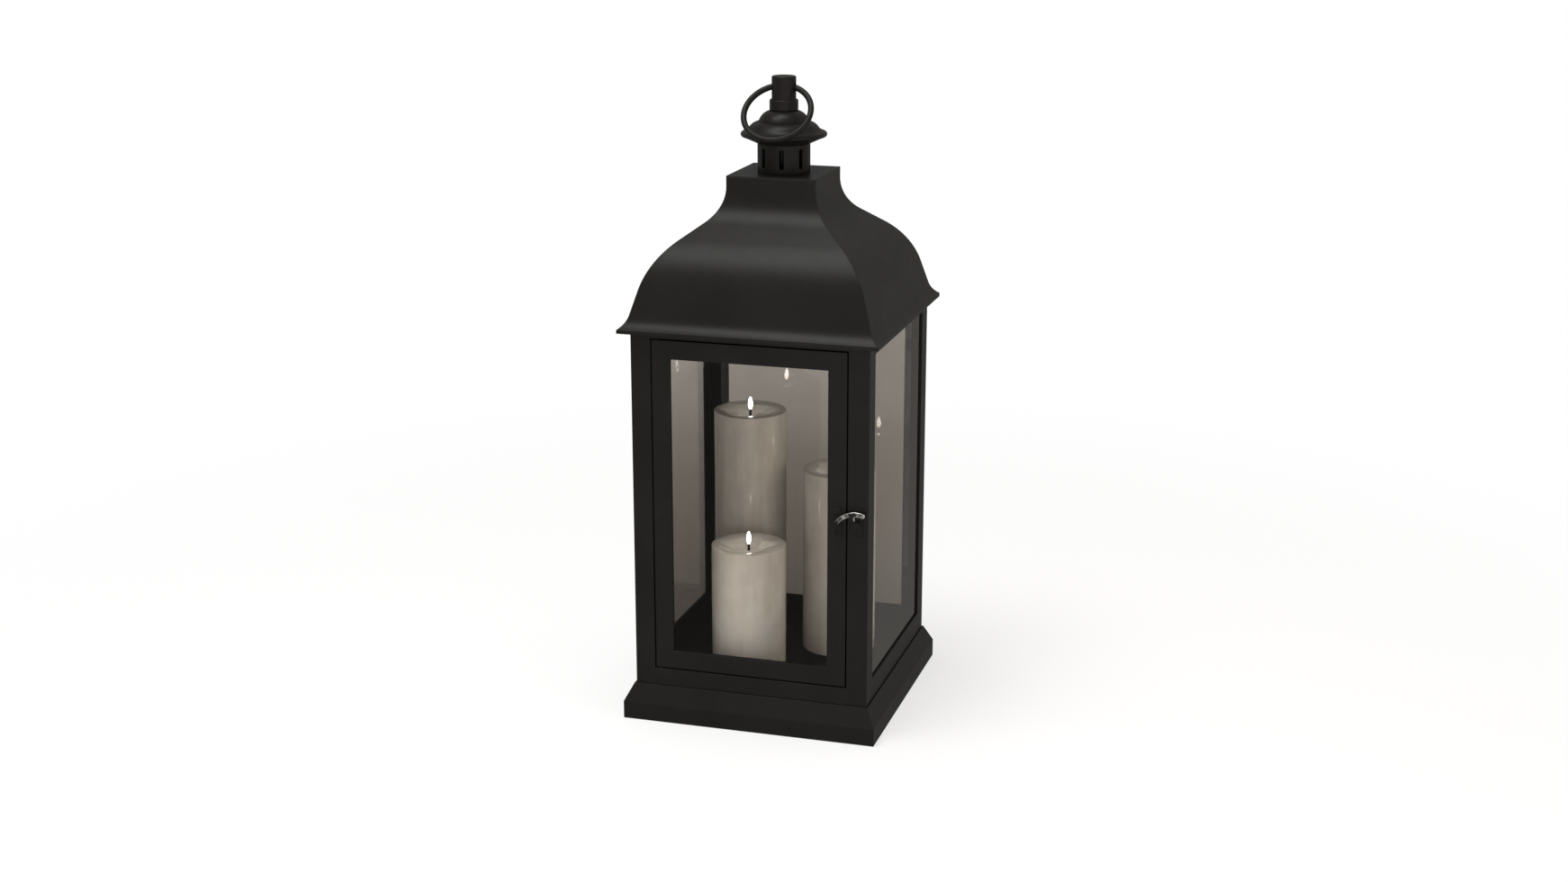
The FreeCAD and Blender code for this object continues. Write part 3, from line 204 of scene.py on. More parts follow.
world = bpy.data.worlds.new("white_surround")
scene.world = world
world.use_nodes = True
tree = world.node_tree
tree.nodes.clear()
fill = add(tree, "ShaderNodeBackground", {"Color": linear("#fffdfa"), "Strength": WORLD_FILL})
white = add(tree, "ShaderNodeBackground", {"Color": linear("#ffffff"), "Strength": 1.0})
mix = add(tree, "ShaderNodeMixShader", {0: looked_at(tree), 1: fill.outputs[0], 2: white.outputs[0]})
add(tree, "ShaderNodeOutputWorld", {"Surface": mix.outputs[0]})
print("world fill", WORLD_FILL)

# %% [markdown]
# ## Softboxes
#
# Satin paint shows the shape of its lamps. Points or suns would draw small hot spots and hard shadows, so all
# three lamps are wide areas. A large one high overhead, a little to the left and in front, draws the long
# pale band across the shoulder of the roof. A weak, warm one on the right keeps that side from going dead
# black. A long, low one in front lifts the posts and the door evenly.

# %% Softboxes
# Each has its place and its size in metres, its power in watts and its colour.
SOFTBOXES = {
    "key_softbox": ((-0.34, -0.46, 2.20), (0.8, 1.4), 42.0, "#ffffff"),
    "warm_side_softbox": ((1.9, -0.6, 0.8), (1.0, 1.0), 7.0, "#ffe2c4"),
    "front_softbox": ((0.44, -1.06, 0.30), (1.7, 0.5), 3.9, "#ffffff"),
}
TARGET = Vector((0.0, 0.0, 0.30))

for name, (spot, size, watts, colour) in SOFTBOXES.items():
    lamp = bpy.data.lights.new(name, "AREA")
    lamp.shape = "RECTANGLE"
    lamp.size, lamp.size_y = size
    lamp.energy = watts
    lamp.color = linear(colour)[:3]
    box = bpy.data.objects.new(name, lamp)
    box.location = spot
    box.rotation_euler = (TARGET - Vector(spot)).to_track_quat("-Z", "Y").to_euler()
    box.visible_camera = False
    scene.collection.objects.link(box)
print("softboxes:", len(SOFTBOXES))

# %% [markdown]
# ## Satin black powder coat
#
# The frame is folded and welded from thin sheet steel, sprayed with dry polyester powder and baked. The
# melted powder flows out into a matt black body under a satin skin. The skin is never quite flat: it has a
# fine orange peel, its gloss drifts a little from place to place, and the paint is thinner and rubbed lighter
# along sharp edges. That lighter edge is also a painted highlight, standing in for the glint of a rounded
# edge. The skin is the shader's coat layer, and the black below it has no gloss of its own. An edge is found
# by comparing the true surface with one that is rounded off, which works on any solid.

# %% Powder coat
COLOUR_DRIFT_MM = 60.0
GLOSS_DRIFT_MM = 11.0
PEEL_MM = 1.3       # a real peel is finer, but at this distance it would not show
EDGE_RADIUS = 0.0010
SKIN_WEIGHT = (0.150, 0.166)

powder_coat, tree, surface, place = new_material("satin_black_powder_coat")
where = place.outputs["Object"]
drift = add(tree, "ShaderNodeTexNoise", {"Vector": where, "Scale": per_mm(COLOUR_DRIFT_MM), "Detail": 3.0})
tone = add(tree, "ShaderNodeValToRGB", {"Fac": drift.outputs["Fac"]},
           stops=[(0.3, "#141312"), (0.7, "#181716")])
rounded = add(tree, "ShaderNodeBevel", {"Radius": EDGE_RADIUS}, samples=4)
true_surface = add(tree, "ShaderNodeNewGeometry")
same = add(tree, "ShaderNodeVectorMath",
           {0: rounded.outputs["Normal"], 1: true_surface.outputs["Normal"]}, operation="DOT_PRODUCT")
# sharp edges are painted lighter: partly rubbed paint, partly a painted highlight for the glint of the edge
edge = add(tree, "ShaderNodeMapRange",
           {"Value": same.outputs["Value"], "From Min": 0.995, "From Max": 0.85, "To Max": 0.55})
edge_wear_and_highlight = add(tree, "ShaderNodeMix", {0: edge.outputs[0], 6: tone.outputs["Color"], 7: linear("#262523")},
           data_type="RGBA")
gloss_drift = add(tree, "ShaderNodeTexNoise",
                  {"Vector": where, "Scale": per_mm(GLOSS_DRIFT_MM), "Detail": 4.0})
gloss = add(tree, "ShaderNodeMapRange",
            {"Value": gloss_drift.outputs["Fac"], "From Min": 0.3, "From Max": 0.7,
             "To Min": SKIN_WEIGHT[0], "To Max": SKIN_WEIGHT[1]})
peel = add(tree, "ShaderNodeTexNoise", {"Vector": where, "Scale": per_mm(PEEL_MM), "Detail": 2.0})
skin = add(tree, "ShaderNodeBump",
           {"Height": peel.outputs["Fac"], "Strength": 0.25, "Distance": 0.0001,
            "Normal": rounded.outputs["Normal"]})
coat = add(tree, "ShaderNodeBsdfPrincipled", {
    "Base Color": edge_wear_and_highlight.outputs[2],
    "Roughness": 0.6,
    "Normal": skin.outputs[0],
    "Specular IOR Level": 0.0,
    "Coat Weight": gloss.outputs[0],
    "Coat Roughness": 0.36,
    "Coat IOR": 1.5,
    "Coat Normal": skin.outputs[0],
})
tree.links.new(coat.outputs[0], surface)
print("made", powder_coat.name)

# %% [markdown]
# ## Three kinds of float glass
#
# The panes are thin float glass: clear in the door, lightly tinted on the right, and smoked brown-grey at the
# rear and on the left. The tint changes with height. The rear and left panes are darkest at the foot and the
# door pane across its middle: painted shade over the shadowed floor and the candles seen through them. The
# right-hand pane darkens towards its head. The tint is applied once where light enters and once where it
# leaves. Wiping marks make it a touch uneven, and the sheet is never perfectly flat.
#
# Real glass has an IOR of 1.5 and mirrors about a twelfth of what stands before it. In a white studio that is
# a white veil over the candles, more than the object shows, and a weaker mirror comes out of the renderer as
# specks. So the door and the right-hand pane have no mirror, and the veil is painted in as a very faint, even
# glow of the glass: a painted reflection. The smoked panes stand behind the flames: they keep a true mirror,
# as a coat with the real IOR, and show the flames a second time.

# %% Glass
PANE_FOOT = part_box("pane_right")[0].z
PANE_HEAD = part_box("pane_right")[1].z
WIPING_MM = 45.0
ROLLING_MM = 90.0
WIPING_SHARE = 0.16
# Each has its tint at the foot, the middle and the head, its mirror's weight, its body's IOR, and the glow
# that paints its reflection.
GLASSES = {
    "tinted_side_glass": ("#e6e2dd", "#c6c1bb", "#b8b3ad", 0.0, 1.0, 0.036),
    # painted shade: the rear and left glass is darkest at its foot, over the shadowed floor behind it
    "smoked_rear_glass": ("#5a5550", "#827c76", "#aca7a1", 1.0, 1.12, 0.0),
    # painted shade: the door glass is darkest across its middle, where the candles are seen
    "clear_door_glass": ("#e4e1dd", "#d7d3cd", "#dedbd7", 0.0, 1.0, 0.0036),
}
panes = {}
for name, (foot, middle, head, mirror, bend, painted_veil_glow) in GLASSES.items():
    panes[name], tree, surface, place = new_material(name)
    where = place.outputs["Object"]
    wiping = add(tree, "ShaderNodeTexNoise", {"Vector": where, "Scale": per_mm(WIPING_MM), "Detail": 3.0})
    rise = add(tree, "ShaderNodeSeparateXYZ", {0: where})
    height = add(tree, "ShaderNodeMapRange",
                 {"Value": rise.outputs["Z"], "From Min": PANE_FOOT, "From Max": PANE_HEAD})
    streak = add(tree, "ShaderNodeMath", {0: wiping.outputs["Fac"], 1: WIPING_SHARE}, operation="MULTIPLY")
    height_and_wiping = add(tree, "ShaderNodeMath", {0: height.outputs[0], 1: streak.outputs[0]}, operation="ADD")
    # the tint follows height, so the darker stops paint shade into the rear, left and door panes
    tint = add(tree, "ShaderNodeValToRGB", {"Fac": height_and_wiping.outputs[0]},
               stops=[(0.05, foot), (0.55, middle), (1.0, head)])
    roll = add(tree, "ShaderNodeTexNoise", {"Vector": where, "Scale": per_mm(ROLLING_MM), "Detail": 0.0})
    wave = add(tree, "ShaderNodeBump", {"Height": roll.outputs["Fac"], "Strength": 0.02, "Distance": 0.0004})
    pane = add(tree, "ShaderNodeBsdfPrincipled", {
        "Base Color": tint.outputs["Color"],
        "Roughness": 0.0,
        "Normal": wave.outputs[0],
        "IOR": bend,
        "Transmission Weight": 1.0,
        "Coat Weight": mirror,
        "Coat Roughness": 0.0,
        "Coat IOR": 1.5,
        # the glow is a painted reflection, standing in for the veil that the missing mirror would show
        "Emission Color": linear("#fffaf4"),
        "Emission Strength": painted_veil_glow,
    })
    tree.links.new(pane.outputs[0], surface)
print("made", sorted(panes))

# %% [markdown]
# ## Paraffin wax
#
# The candles are cast paraffin. Wax is cloudy: light goes in, scatters and comes out a few millimetres away,
# so its shadows are soft and its thin rim glows. It sets against a cold mould, which leaves faint upright
# flow marks, a mottled frost of crystals and a smooth skin. The skin is glossy enough to draw a flame as a
# soft upright streak, and where the top has melted and set again it is glossier still.

# %% Wax
CLOUD_MM = 16.0
FLOW_MM = 7.0
FLOW_STRETCH = 0.12
FROST_MM = 2.5

wax_skin, tree, surface, place = new_material("cast_paraffin_wax")
where = place.outputs["Object"]
cloud = add(tree, "ShaderNodeTexNoise", {"Vector": where, "Scale": per_mm(CLOUD_MM), "Detail": 5.0})
upright = add(tree, "ShaderNodeMapping", {"Vector": where, "Scale": (1.0, 1.0, FLOW_STRETCH)})
flow = add(tree, "ShaderNodeTexNoise",
           {"Vector": upright.outputs[0], "Scale": per_mm(FLOW_MM), "Detail": 3.0})
marks = add(tree, "ShaderNodeMath", {0: cloud.outputs["Fac"], 1: flow.outputs["Fac"]}, operation="ADD")
half_marks = add(tree, "ShaderNodeMath", {0: marks.outputs[0], 1: 0.5}, operation="MULTIPLY")
tone = add(tree, "ShaderNodeValToRGB", {"Fac": half_marks.outputs[0]},
           stops=[(0.32, "#cbc8c2"), (0.65, "#dbd9d5")])
side_gloss = add(tree, "ShaderNodeMapRange",
                 {"Value": flow.outputs["Fac"], "From Min": 0.3, "From Max": 0.7,
                  "To Min": 0.10, "To Max": 0.16})
facing = add(tree, "ShaderNodeSeparateXYZ", {0: add(tree, "ShaderNodeNewGeometry").outputs["Normal"]})
melted = add(tree, "ShaderNodeMapRange",
             {"Value": facing.outputs["Z"], "From Min": 0.2, "From Max": 0.6, "To Min": 1.0, "To Max": 0.5})
gloss = add(tree, "ShaderNodeMath", {0: side_gloss.outputs[0], 1: melted.outputs[0]}, operation="MULTIPLY")
frost = add(tree, "ShaderNodeTexNoise", {"Vector": where, "Scale": per_mm(FROST_MM), "Detail": 3.0})
dull = add(tree, "ShaderNodeBump", {"Height": frost.outputs["Fac"], "Strength": 0.08, "Distance": 0.0002})
body = add(tree, "ShaderNodeBsdfPrincipled", {
    "Base Color": tone.outputs["Color"],
    "Roughness": gloss.outputs[0],
    "Normal": dull.outputs[0],
    "IOR": 1.44,
    "Subsurface Weight": 0.35,
    "Subsurface Radius": (1.0, 0.85, 0.7),
    "Subsurface Scale": 0.005,
})
tree.links.new(body.outputs[0], surface)
print("made", wax_skin.name)

# %% [markdown]
# ## The glowing flame and the wick
#
# The flame is a small frosted blade of clear plastic lit from below by a lamp in the wick, so it glows almost
# evenly, whiter in its belly and a touch warmer at its foot and tip. The wick is a moulded black stem with
# a trace of the twist of a real one.

# %% Flame and wick
FROSTING_MM = 0.9
TWIST_MM = 28.0     # diagonal waves repeat at 0.63 of this, so the short wick shows about half a turn

flame_glow, tree, surface, place = new_material("lit_frosted_acrylic")
split = add(tree, "ShaderNodeSeparateXYZ", {0: place.outputs["Generated"]})
warmth = add(tree, "ShaderNodeValToRGB", {"Fac": split.outputs["Z"]},
             stops=[(0.0, "#ffe9c8"), (0.35, "#ffffff"), (0.75, "#ffffff"), (1.0, "#fff3e0")])
frosting = add(tree, "ShaderNodeTexNoise",
               {"Vector": place.outputs["Object"], "Scale": per_mm(FROSTING_MM), "Detail": 1.0})
bite = add(tree, "ShaderNodeBump", {"Height": frosting.outputs["Fac"], "Strength": 0.1, "Distance": 0.0001})
acrylic = add(tree, "ShaderNodeBsdfPrincipled", {
    "Base Color": warmth.outputs["Color"],
    "Roughness": 0.5,
    "Normal": bite.outputs[0],
    "Emission Color": warmth.outputs["Color"],
    "Emission Strength": 16.0,
})
tree.links.new(acrylic.outputs[0], surface)
print("made", flame_glow.name)

wick_black, tree, surface, place = new_material("moulded_black_wick")
twist = add(tree, "ShaderNodeTexWave",
            {"Vector": place.outputs["Object"], "Scale": per_mm(TWIST_MM), "Distortion": 1.5},
            bands_direction="DIAGONAL")
tone = add(tree, "ShaderNodeValToRGB", {"Fac": twist.outputs["Fac"]},
           stops=[(0.2, "#080706"), (0.9, "#191614")])
strand = add(tree, "ShaderNodeBump", {"Height": twist.outputs["Fac"], "Strength": 0.5, "Distance": 0.0002})
stem = add(tree, "ShaderNodeBsdfPrincipled",
           {"Base Color": tone.outputs["Color"], "Roughness": 0.7, "Normal": strand.outputs[0]})
tree.links.new(stem.outputs[0], surface)
print("made", wick_black.name)

# %% [markdown]
# ## Metals and plastics of the small parts
#
# The lever is a zinc casting with bright plating, tumbled and handled until it is full of small dents. Its
# faces that turn to the front and back are darker in patches, partly dull wear and partly a painted shade
# laid over their reflection of the white floor; its edges and sides stay bright. The clips, the hinge pins
# and the tie bolt are blackened spring steel, with the faint crystal pattern that the bath leaves. The
# battery case is moulded plastic with a spark-eroded grain, its switch the same in black, and the cells are
# plain steel cans in a dark sleeve. The plastics' grain is drawn coarser than the real one, or it would not
# show.

# %% Metals
PATCH_MM = 4.2
CRYSTAL_MM = 4.0
BATH_GRAIN_MM = 1.5

bright_plate, tree, surface, place = new_material("bright_plated_zinc")
patches = add(tree, "ShaderNodeTexNoise",
              {"Vector": place.outputs["Object"], "Scale": per_mm(PATCH_MM), "Detail": 0.6})
turned_to = add(tree, "ShaderNodeSeparateXYZ", {0: place.outputs["Normal"]})
frontal = add(tree, "ShaderNodeMath", {0: turned_to.outputs["Y"]}, operation="ABSOLUTE")
# faces turned to the front and back are painted darker in patches: partly dull wear, partly painted shade
front_and_back_faces = add(tree, "ShaderNodeMapRange",
                {"Value": frontal.outputs[0], "From Min": 0.70, "From Max": 0.985})
dull_wear_and_shade = add(tree, "ShaderNodeMath", {0: front_and_back_faces.outputs[0], 1: patches.outputs["Fac"]},
             operation="MULTIPLY")
tone = add(tree, "ShaderNodeValToRGB", {"Fac": dull_wear_and_shade.outputs[0]},
           stops=[(0.12, "#b0aeaa"), (0.40, "#64625f"), (0.58, "#262423")])
gloss = add(tree, "ShaderNodeMapRange",
            {"Value": dull_wear_and_shade.outputs[0], "From Max": 0.6, "To Min": 0.14, "To Max": 0.34})
scuffs = add(tree, "ShaderNodeBump", {"Height": patches.outputs["Fac"], "Strength": 0.15, "Distance": 0.0002})
plate = add(tree, "ShaderNodeBsdfPrincipled", {
    "Base Color": tone.outputs["Color"],
    "Metallic": 1.0,
    "Roughness": gloss.outputs[0],
    "Normal": scuffs.outputs[0],
})
tree.links.new(plate.outputs[0], surface)
print("made", bright_plate.name)

blackened_steel, tree, surface, place = new_material("blackened_spring_steel")
where = place.outputs["Object"]
crystals = add(tree, "ShaderNodeTexVoronoi", {"Vector": where, "Scale": per_mm(CRYSTAL_MM)}, feature="F1")
tone = add(tree, "ShaderNodeMix",
           {0: crystals.outputs["Color"], 6: linear("#1d1d1e"), 7: linear("#2a2a2c")}, data_type="RGBA")
fine = add(tree, "ShaderNodeTexNoise", {"Vector": where, "Scale": per_mm(BATH_GRAIN_MM), "Detail": 2.0})
gloss = add(tree, "ShaderNodeMapRange", {"Value": fine.outputs["Fac"], "To Min": 0.28, "To Max": 0.46})
grain = add(tree, "ShaderNodeBump", {"Height": fine.outputs["Fac"], "Strength": 0.1, "Distance": 0.0001})
steel = add(tree, "ShaderNodeBsdfPrincipled", {
    "Base Color": tone.outputs[2],
    "Metallic": 1.0,
    "Roughness": gloss.outputs[0],
    "Normal": grain.outputs[0],
})
tree.links.new(steel.outputs[0], surface)
print("made", blackened_steel.name)

# %% Plastics and cells
# Each has its darker and lighter colour, its roughness and the size of its grain in millimetres.
MOULDED = {
    "ivory_moulded_plastic": ("#cdc6ba", "#d6d0c5", 0.45, 0.6),
    "black_moulded_plastic": ("#121212", "#1a1a1a", 0.40, 0.5),
    "sleeved_battery_can": ("#2b2d31", "#3a3d42", 0.30, 1.1),
}
moulded = {}
for name, (dark, light, roughness, grain_mm) in MOULDED.items():
    moulded[name], tree, surface, place = new_material(name)
    grit = add(tree, "ShaderNodeTexNoise",
               {"Vector": place.outputs["Object"], "Scale": per_mm(grain_mm), "Detail": 2.0})
    tone = add(tree, "ShaderNodeValToRGB", {"Fac": grit.outputs["Fac"]}, stops=[(0.35, dark), (0.65, light)])
    spark = add(tree, "ShaderNodeBump", {"Height": grit.outputs["Fac"], "Strength": 0.2, "Distance": 0.0001})
    gloss = add(tree, "ShaderNodeMapRange",
                {"Value": grit.outputs["Fac"], "To Min": roughness - 0.05, "To Max": roughness + 0.1})
    shell = add(tree, "ShaderNodeBsdfPrincipled", {
        "Base Color": tone.outputs["Color"],
        "Roughness": gloss.outputs[0],
        "Normal": spark.outputs[0],
    })
    tree.links.new(shell.outputs[0], surface)
print("made", sorted(moulded))

# %% [markdown]
# ## Dressing the solids
#
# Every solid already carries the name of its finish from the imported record. One table says which of the
# materials above stands for each finish, and one loop swaps them in. The record knows one kind of glass, so
# the right-hand pane and the door's pane get theirs by name. The solids keep their shape.

# %% Dress the solids
FINISHES = {
    "black_paint": powder_coat,
    "glass": panes["smoked_rear_glass"],
    "steel": blackened_steel,
    "bright_steel": bright_plate,
    "wax": wax_skin,
    "wick": wick_black,
    "flame": flame_glow,
    "case_plastic": moulded["ivory_moulded_plastic"],
    "switch_plastic": moulded["black_moulded_plastic"],
    "cell_can": moulded["sleeved_battery_can"],
}
for solid in nodes.values():
    for place_in_list, old in enumerate(solid.data.materials):
        solid.data.materials[place_in_list] = FINISHES[old.name.split(".")[0]]
nodes["pane_right"].data.materials[0] = panes["tinted_side_glass"]
nodes["door_pane"].data.materials[0] = panes["clear_door_glass"]
print("dressed", len(nodes), "pieces")

# %% [markdown]
# ## Wax pillars with a melted dish
#
# A used pillar candle is not a lathe-perfect cup. Its rim is a low rounded crest, the wax inside it folds
# inwards where the pool stood longest, and from that lip it falls in a smooth bowl to the wick. The cast side
# is very slightly uneven. The profile could be drawn as a curve and spun with a modifier, but then every ring
# would be the same, so the rings are laid one by one and a smooth noise moves each point a little. The hollow
# for the battery case stays inside.

# %% Rings into a mesh
SHARP_ANGLE = math.radians(50.0)


def circle(count):
    """The angles of this many points, evenly round a circle."""
    return [2.0 * math.pi * i / count for i in range(count)]


def spun(name, rings, closed=False):
    """A piece made of rings of points: each is joined to the next, and the last to the first if closed."""
    points = [point for ring in rings for point in ring]
    count = len(rings[0])
    faces = []
    for low in range(len(rings) if closed else len(rings) - 1):
        high = (low + 1) % len(rings)
        for i in range(count):
            j = (i + 1) % count
            faces.append((low * count + i, low * count + j, high * count + j, high * count + i))
    if not closed:
        faces.append(tuple(reversed(range(count))))
        faces.append(tuple(range(len(points) - count, len(points))))
    mesh = bpy.data.meshes.new(name)
    mesh.from_pydata(points, [], faces)
    mesh.shade_smooth()
    mesh.set_sharp_from_angle(angle=SHARP_ANGLE)
    piece = bpy.data.objects.new(name, mesh)
    scene.collection.objects.link(piece)
    return piece


print("edges sharper than", round(math.degrees(SHARP_ANGLE)), "degrees stay crisp")

# %% Profile of a wax pillar
WAX_RADIUS = 0.0370
FOOT_ROUND = ((0.0007, 0.0, 0.0), (0.0002, 0.0003, 0.3))    # how far in, how high, and the side's share there
SIDE_FOOT = 0.0010
EDGE_ROUND = 0.0008
CREST_RADIUS = 0.0336
CREST_RISE = 0.0004
LIP_INSIDE = 0.0228
LIP_FALL = 0.0012
DISH_FLOOR = 0.0110
DISH_DEPTH = 0.0066
WICK_HOLE = 0.00145
POOL_RADII = (0.0085, 0.0060, 0.0040, 0.0025, WICK_HOLE)
POOL_FALL = 0.0002
BORE_RADIUS = 0.0325
WAX_TOP = 0.0200
SIDE_STEPS, EDGE_STEPS, CREST_STEPS, LIP_STEPS, DISH_STEPS = 12, 6, 4, 8, 14


def wax_profile(height):
    """Rings of a pillar as radius, height, and how far the cast side and the melted lip may wander there: up
    the side, over the crest, down the lip and the dish, through the wick's hole and down the hollow."""
    steps = [(WAX_RADIUS - inwards, rise, side_share, 0.0) for inwards, rise, side_share in FOOT_ROUND]
    side_top = height - CREST_RISE - EDGE_ROUND
    for i in range(SIDE_STEPS + 1):
        steps.append((WAX_RADIUS, SIDE_FOOT + (side_top - SIDE_FOOT) * i / SIDE_STEPS, 1.0, 0.0))
    for i in range(1, EDGE_STEPS + 1):
        turn = math.radians(90.0 / EDGE_STEPS * i)
        inwards = EDGE_ROUND * (1.0 - math.cos(turn))
        steps.append((WAX_RADIUS - inwards, side_top + EDGE_ROUND * math.sin(turn), 1.0, 0.0))
    lip_outside = WAX_RADIUS - EDGE_ROUND
    for i in range(1, CREST_STEPS + 1):
        share = i / CREST_STEPS
        radius = lip_outside + (CREST_RADIUS - lip_outside) * share
        steps.append((radius, height - CREST_RISE * (1.0 - share) ** 2, 1.0, 0.0))
    for i in range(1, LIP_STEPS + 1):
        share = i / LIP_STEPS
        radius = CREST_RADIUS + (LIP_INSIDE - CREST_RADIUS) * share
        steps.append((radius, height - LIP_FALL * share ** 2, 1.0, share))
    for i in range(1, DISH_STEPS + 1):
        share = i / DISH_STEPS
        radius = LIP_INSIDE + (DISH_FLOOR - LIP_INSIDE) * share
        fall = LIP_FALL + (DISH_DEPTH - LIP_FALL) * math.sin(0.5 * math.pi * share)
        steps.append((radius, height - fall, 1.0 - share, 1.0 - share))
    for radius in POOL_RADII:
        steps.append((radius, height - DISH_DEPTH - POOL_FALL * (1.0 - radius / DISH_FLOOR), 0.0, 0.0))
    ceiling = height - WAX_TOP
    for radius, rise in ((WICK_HOLE, ceiling), (BORE_RADIUS, ceiling), (BORE_RADIUS, 0.0)):
        steps.append((radius, rise, 0.0, 0.0))
    return steps


print("rings in a pillar:", len(wax_profile(0.13)))

# %% Wax pillars
CANDLES = ("candle_front", "candle_right", "candle_tall")
AROUND = 144
SIDE_WANDER = 0.00022
SIDE_INSET = 0.6        # keeps the uneven side inside the solid's own radius
SIDE_WAVES, RISE_WAVES, SIDE_APART = 1.3, 14.0, 7.0
LIP_WANDER = 0.0085
LIP_SAG = 0.0012
LIP_WAVES, LIP_APART, LIP_START = 1.5, 5.0, 2.3     # each candle takes another part of the same noise

for seed, candle in enumerate(CANDLES):
    low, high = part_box(candle + "_wax")
    middle = (low + high) / 2
    height = high.z - low.z
    rings = []
    for radius, rise, side_share, lip_share in wax_profile(height):
        ring = []
        for angle in circle(AROUND):
            way = Vector((math.cos(angle), math.sin(angle), 0.0))
            drift_up = rise * RISE_WAVES + seed * SIDE_APART
            side = noise.noise(Vector((way.x * SIDE_WAVES, way.y * SIDE_WAVES, drift_up)))
            fold = noise.noise(Vector((way.x * LIP_WAVES, way.y * LIP_WAVES, seed * LIP_APART + LIP_START)))
            out = radius + SIDE_WANDER * side_share * (side - SIDE_INSET) + LIP_WANDER * lip_share * fold
            up = rise - LIP_SAG * lip_share * max(0.0, fold)
            ring.append((middle.x + way.x * out, middle.y + way.y * out, low.z + up))
        rings.append(ring)
    pillar = spun(candle + "_pillar", rings, closed=True)
    pillar.data.materials.append(wax_skin)
    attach(pillar, candle)
    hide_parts(candle + "_wax")
    print(pillar.name, "height", round(height * 1000, 1), "mm, faces", len(pillar.data.polygons))

# %% [markdown]
# ## Flames
#
# The solid flame is a stack of short cones. The real blade is one smooth teardrop that swells from the wick
# and closes in a soft tip, so it is spun again from one formula with enough rings to have no corners.

# %% Flames
FLAME_STEPS = 22
FLAME_AROUND = 32
FLAME_BELLY = 0.42
FLAME_FOOT = 0.54
FLAME_TAPER = 0.18
FLAME_SLIM = 0.92
FLAME_REACH = 0.95
TIP_RADIUS = 0.0001

for candle in CANDLES:
    low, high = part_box(candle + "_flame")
    middle = (low + high) / 2
    widest = FLAME_SLIM * (high.x - low.x) / 2
    reach = FLAME_REACH * (high.z - low.z)
    outline = []
    for step in range(FLAME_STEPS):
        share = step / FLAME_STEPS
        if share < FLAME_BELLY:
            swell = math.sin(0.5 * math.pi * share / FLAME_BELLY)
            radius = widest * (FLAME_FOOT + (1.0 - FLAME_FOOT) * swell)
        else:
            over = (share - FLAME_BELLY) / (1.0 - FLAME_BELLY)
            radius = widest * math.sqrt(1.0 - over ** 2) * (1.0 - FLAME_TAPER * over)
        outline.append((radius, low.z + reach * share))
    outline.append((TIP_RADIUS, low.z + reach))
    rings = [[(middle.x + radius * math.cos(a), middle.y + radius * math.sin(a), rise)
              for a in circle(FLAME_AROUND)] for radius, rise in outline]
    blade = spun(candle + "_blade", rings)
    blade.data.materials.append(flame_glow)
    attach(blade, candle)
    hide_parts(candle + "_flame")
print("flames:", len(CANDLES))

# %% [markdown]
# ## The latch lever
#
# The lever is a small casting: an eye round the post, a curved arm that grows towards a ball, and a tooth
# that drops beside the peg. The solid has the right outline but square edges. Here each limb is swept with a
# rounded section, a voxel remesh melts the limbs into one skin as a casting would, a little smoothing fillets
# the inside corners, and a noise presses shallow dents into it, which catch the light as the real ones do.

# %% Frame of the lever
EYE_INSIDE = 0.0024
EYE_OUTSIDE = 0.0037    # of the solid, whose box gives the pivot
EYE_SEEN = 0.0032       # of the casting drawn here
ARM_RADIUS = 0.0220
ARM_TAIL = 0.0026       # the arm starts this far from the pivot, so that it stays clear of the post
KNOB = Vector((0.0260, 0.0100))
KNOB_RADIUS = 0.0024
SECTION_POINTS = 24
SQUARENESS = 0.42       # 1 makes the section an ellipse, and less makes it squarer

lever_low, lever_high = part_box("latch_lever")
pivot = Vector((lever_low.x + EYE_OUTSIDE, (lever_low.y + lever_high.y) / 2, lever_low.z + EYE_OUTSIDE))
half_thick = (lever_high.y - lever_low.y) / 2

beside = Vector((-KNOB.y, KNOB.x)).normalized()
arm_centre = KNOB / 2 - beside * math.sqrt(ARM_RADIUS ** 2 - (KNOB.length / 2) ** 2)
arm_start = math.atan2(-arm_centre.y, -arm_centre.x) - ARM_TAIL / ARM_RADIUS
arm_end = math.atan2(KNOB.y - arm_centre.y, KNOB.x - arm_centre.x)


def squared(value):
    """A sine or cosine pushed towards 1 or -1, which makes a circle into a soft square."""
    return math.copysign(abs(value) ** SQUARENESS, value)


def section(at, across, half_wide, half_deep):
    """A rounded section of a limb: a soft rectangle across the limb at one point of the lever's plane."""
    points = []
    for angle in circle(SECTION_POINTS):
        flat = at + across * squared(math.cos(angle)) * half_wide
        deep = squared(math.sin(angle)) * half_deep
        points.append((pivot.x + flat.x, pivot.y - deep, pivot.z + flat.y))
    return points


print("arm turns", round(math.degrees(arm_start - arm_end)), "degrees from the eye to the ball")

# %% Limbs of the lever
EYE_STEPS, ARM_STEPS, BALL_STEPS = 48, 24, 16
EYE_DEPTH, ARM_DEPTH, ARM_DEPTH_GAIN, TOOTH_DEPTH = 0.94, 0.88, 0.1, 0.9     # shares of the thickness
ARM_HALF_WIDE, ARM_WIDTH_GAIN = 0.0020, 0.0006
TOOTH_RIGHT, TOOTH_TOP, TOOTH_DROP = 0.0187, 0.0108, 0.0066
TOOTH_TAPER = ((0.0, 0.0034), (0.3, 0.0026), (0.6, 0.0017), (0.85, 0.0010), (1.0, 0.0005))

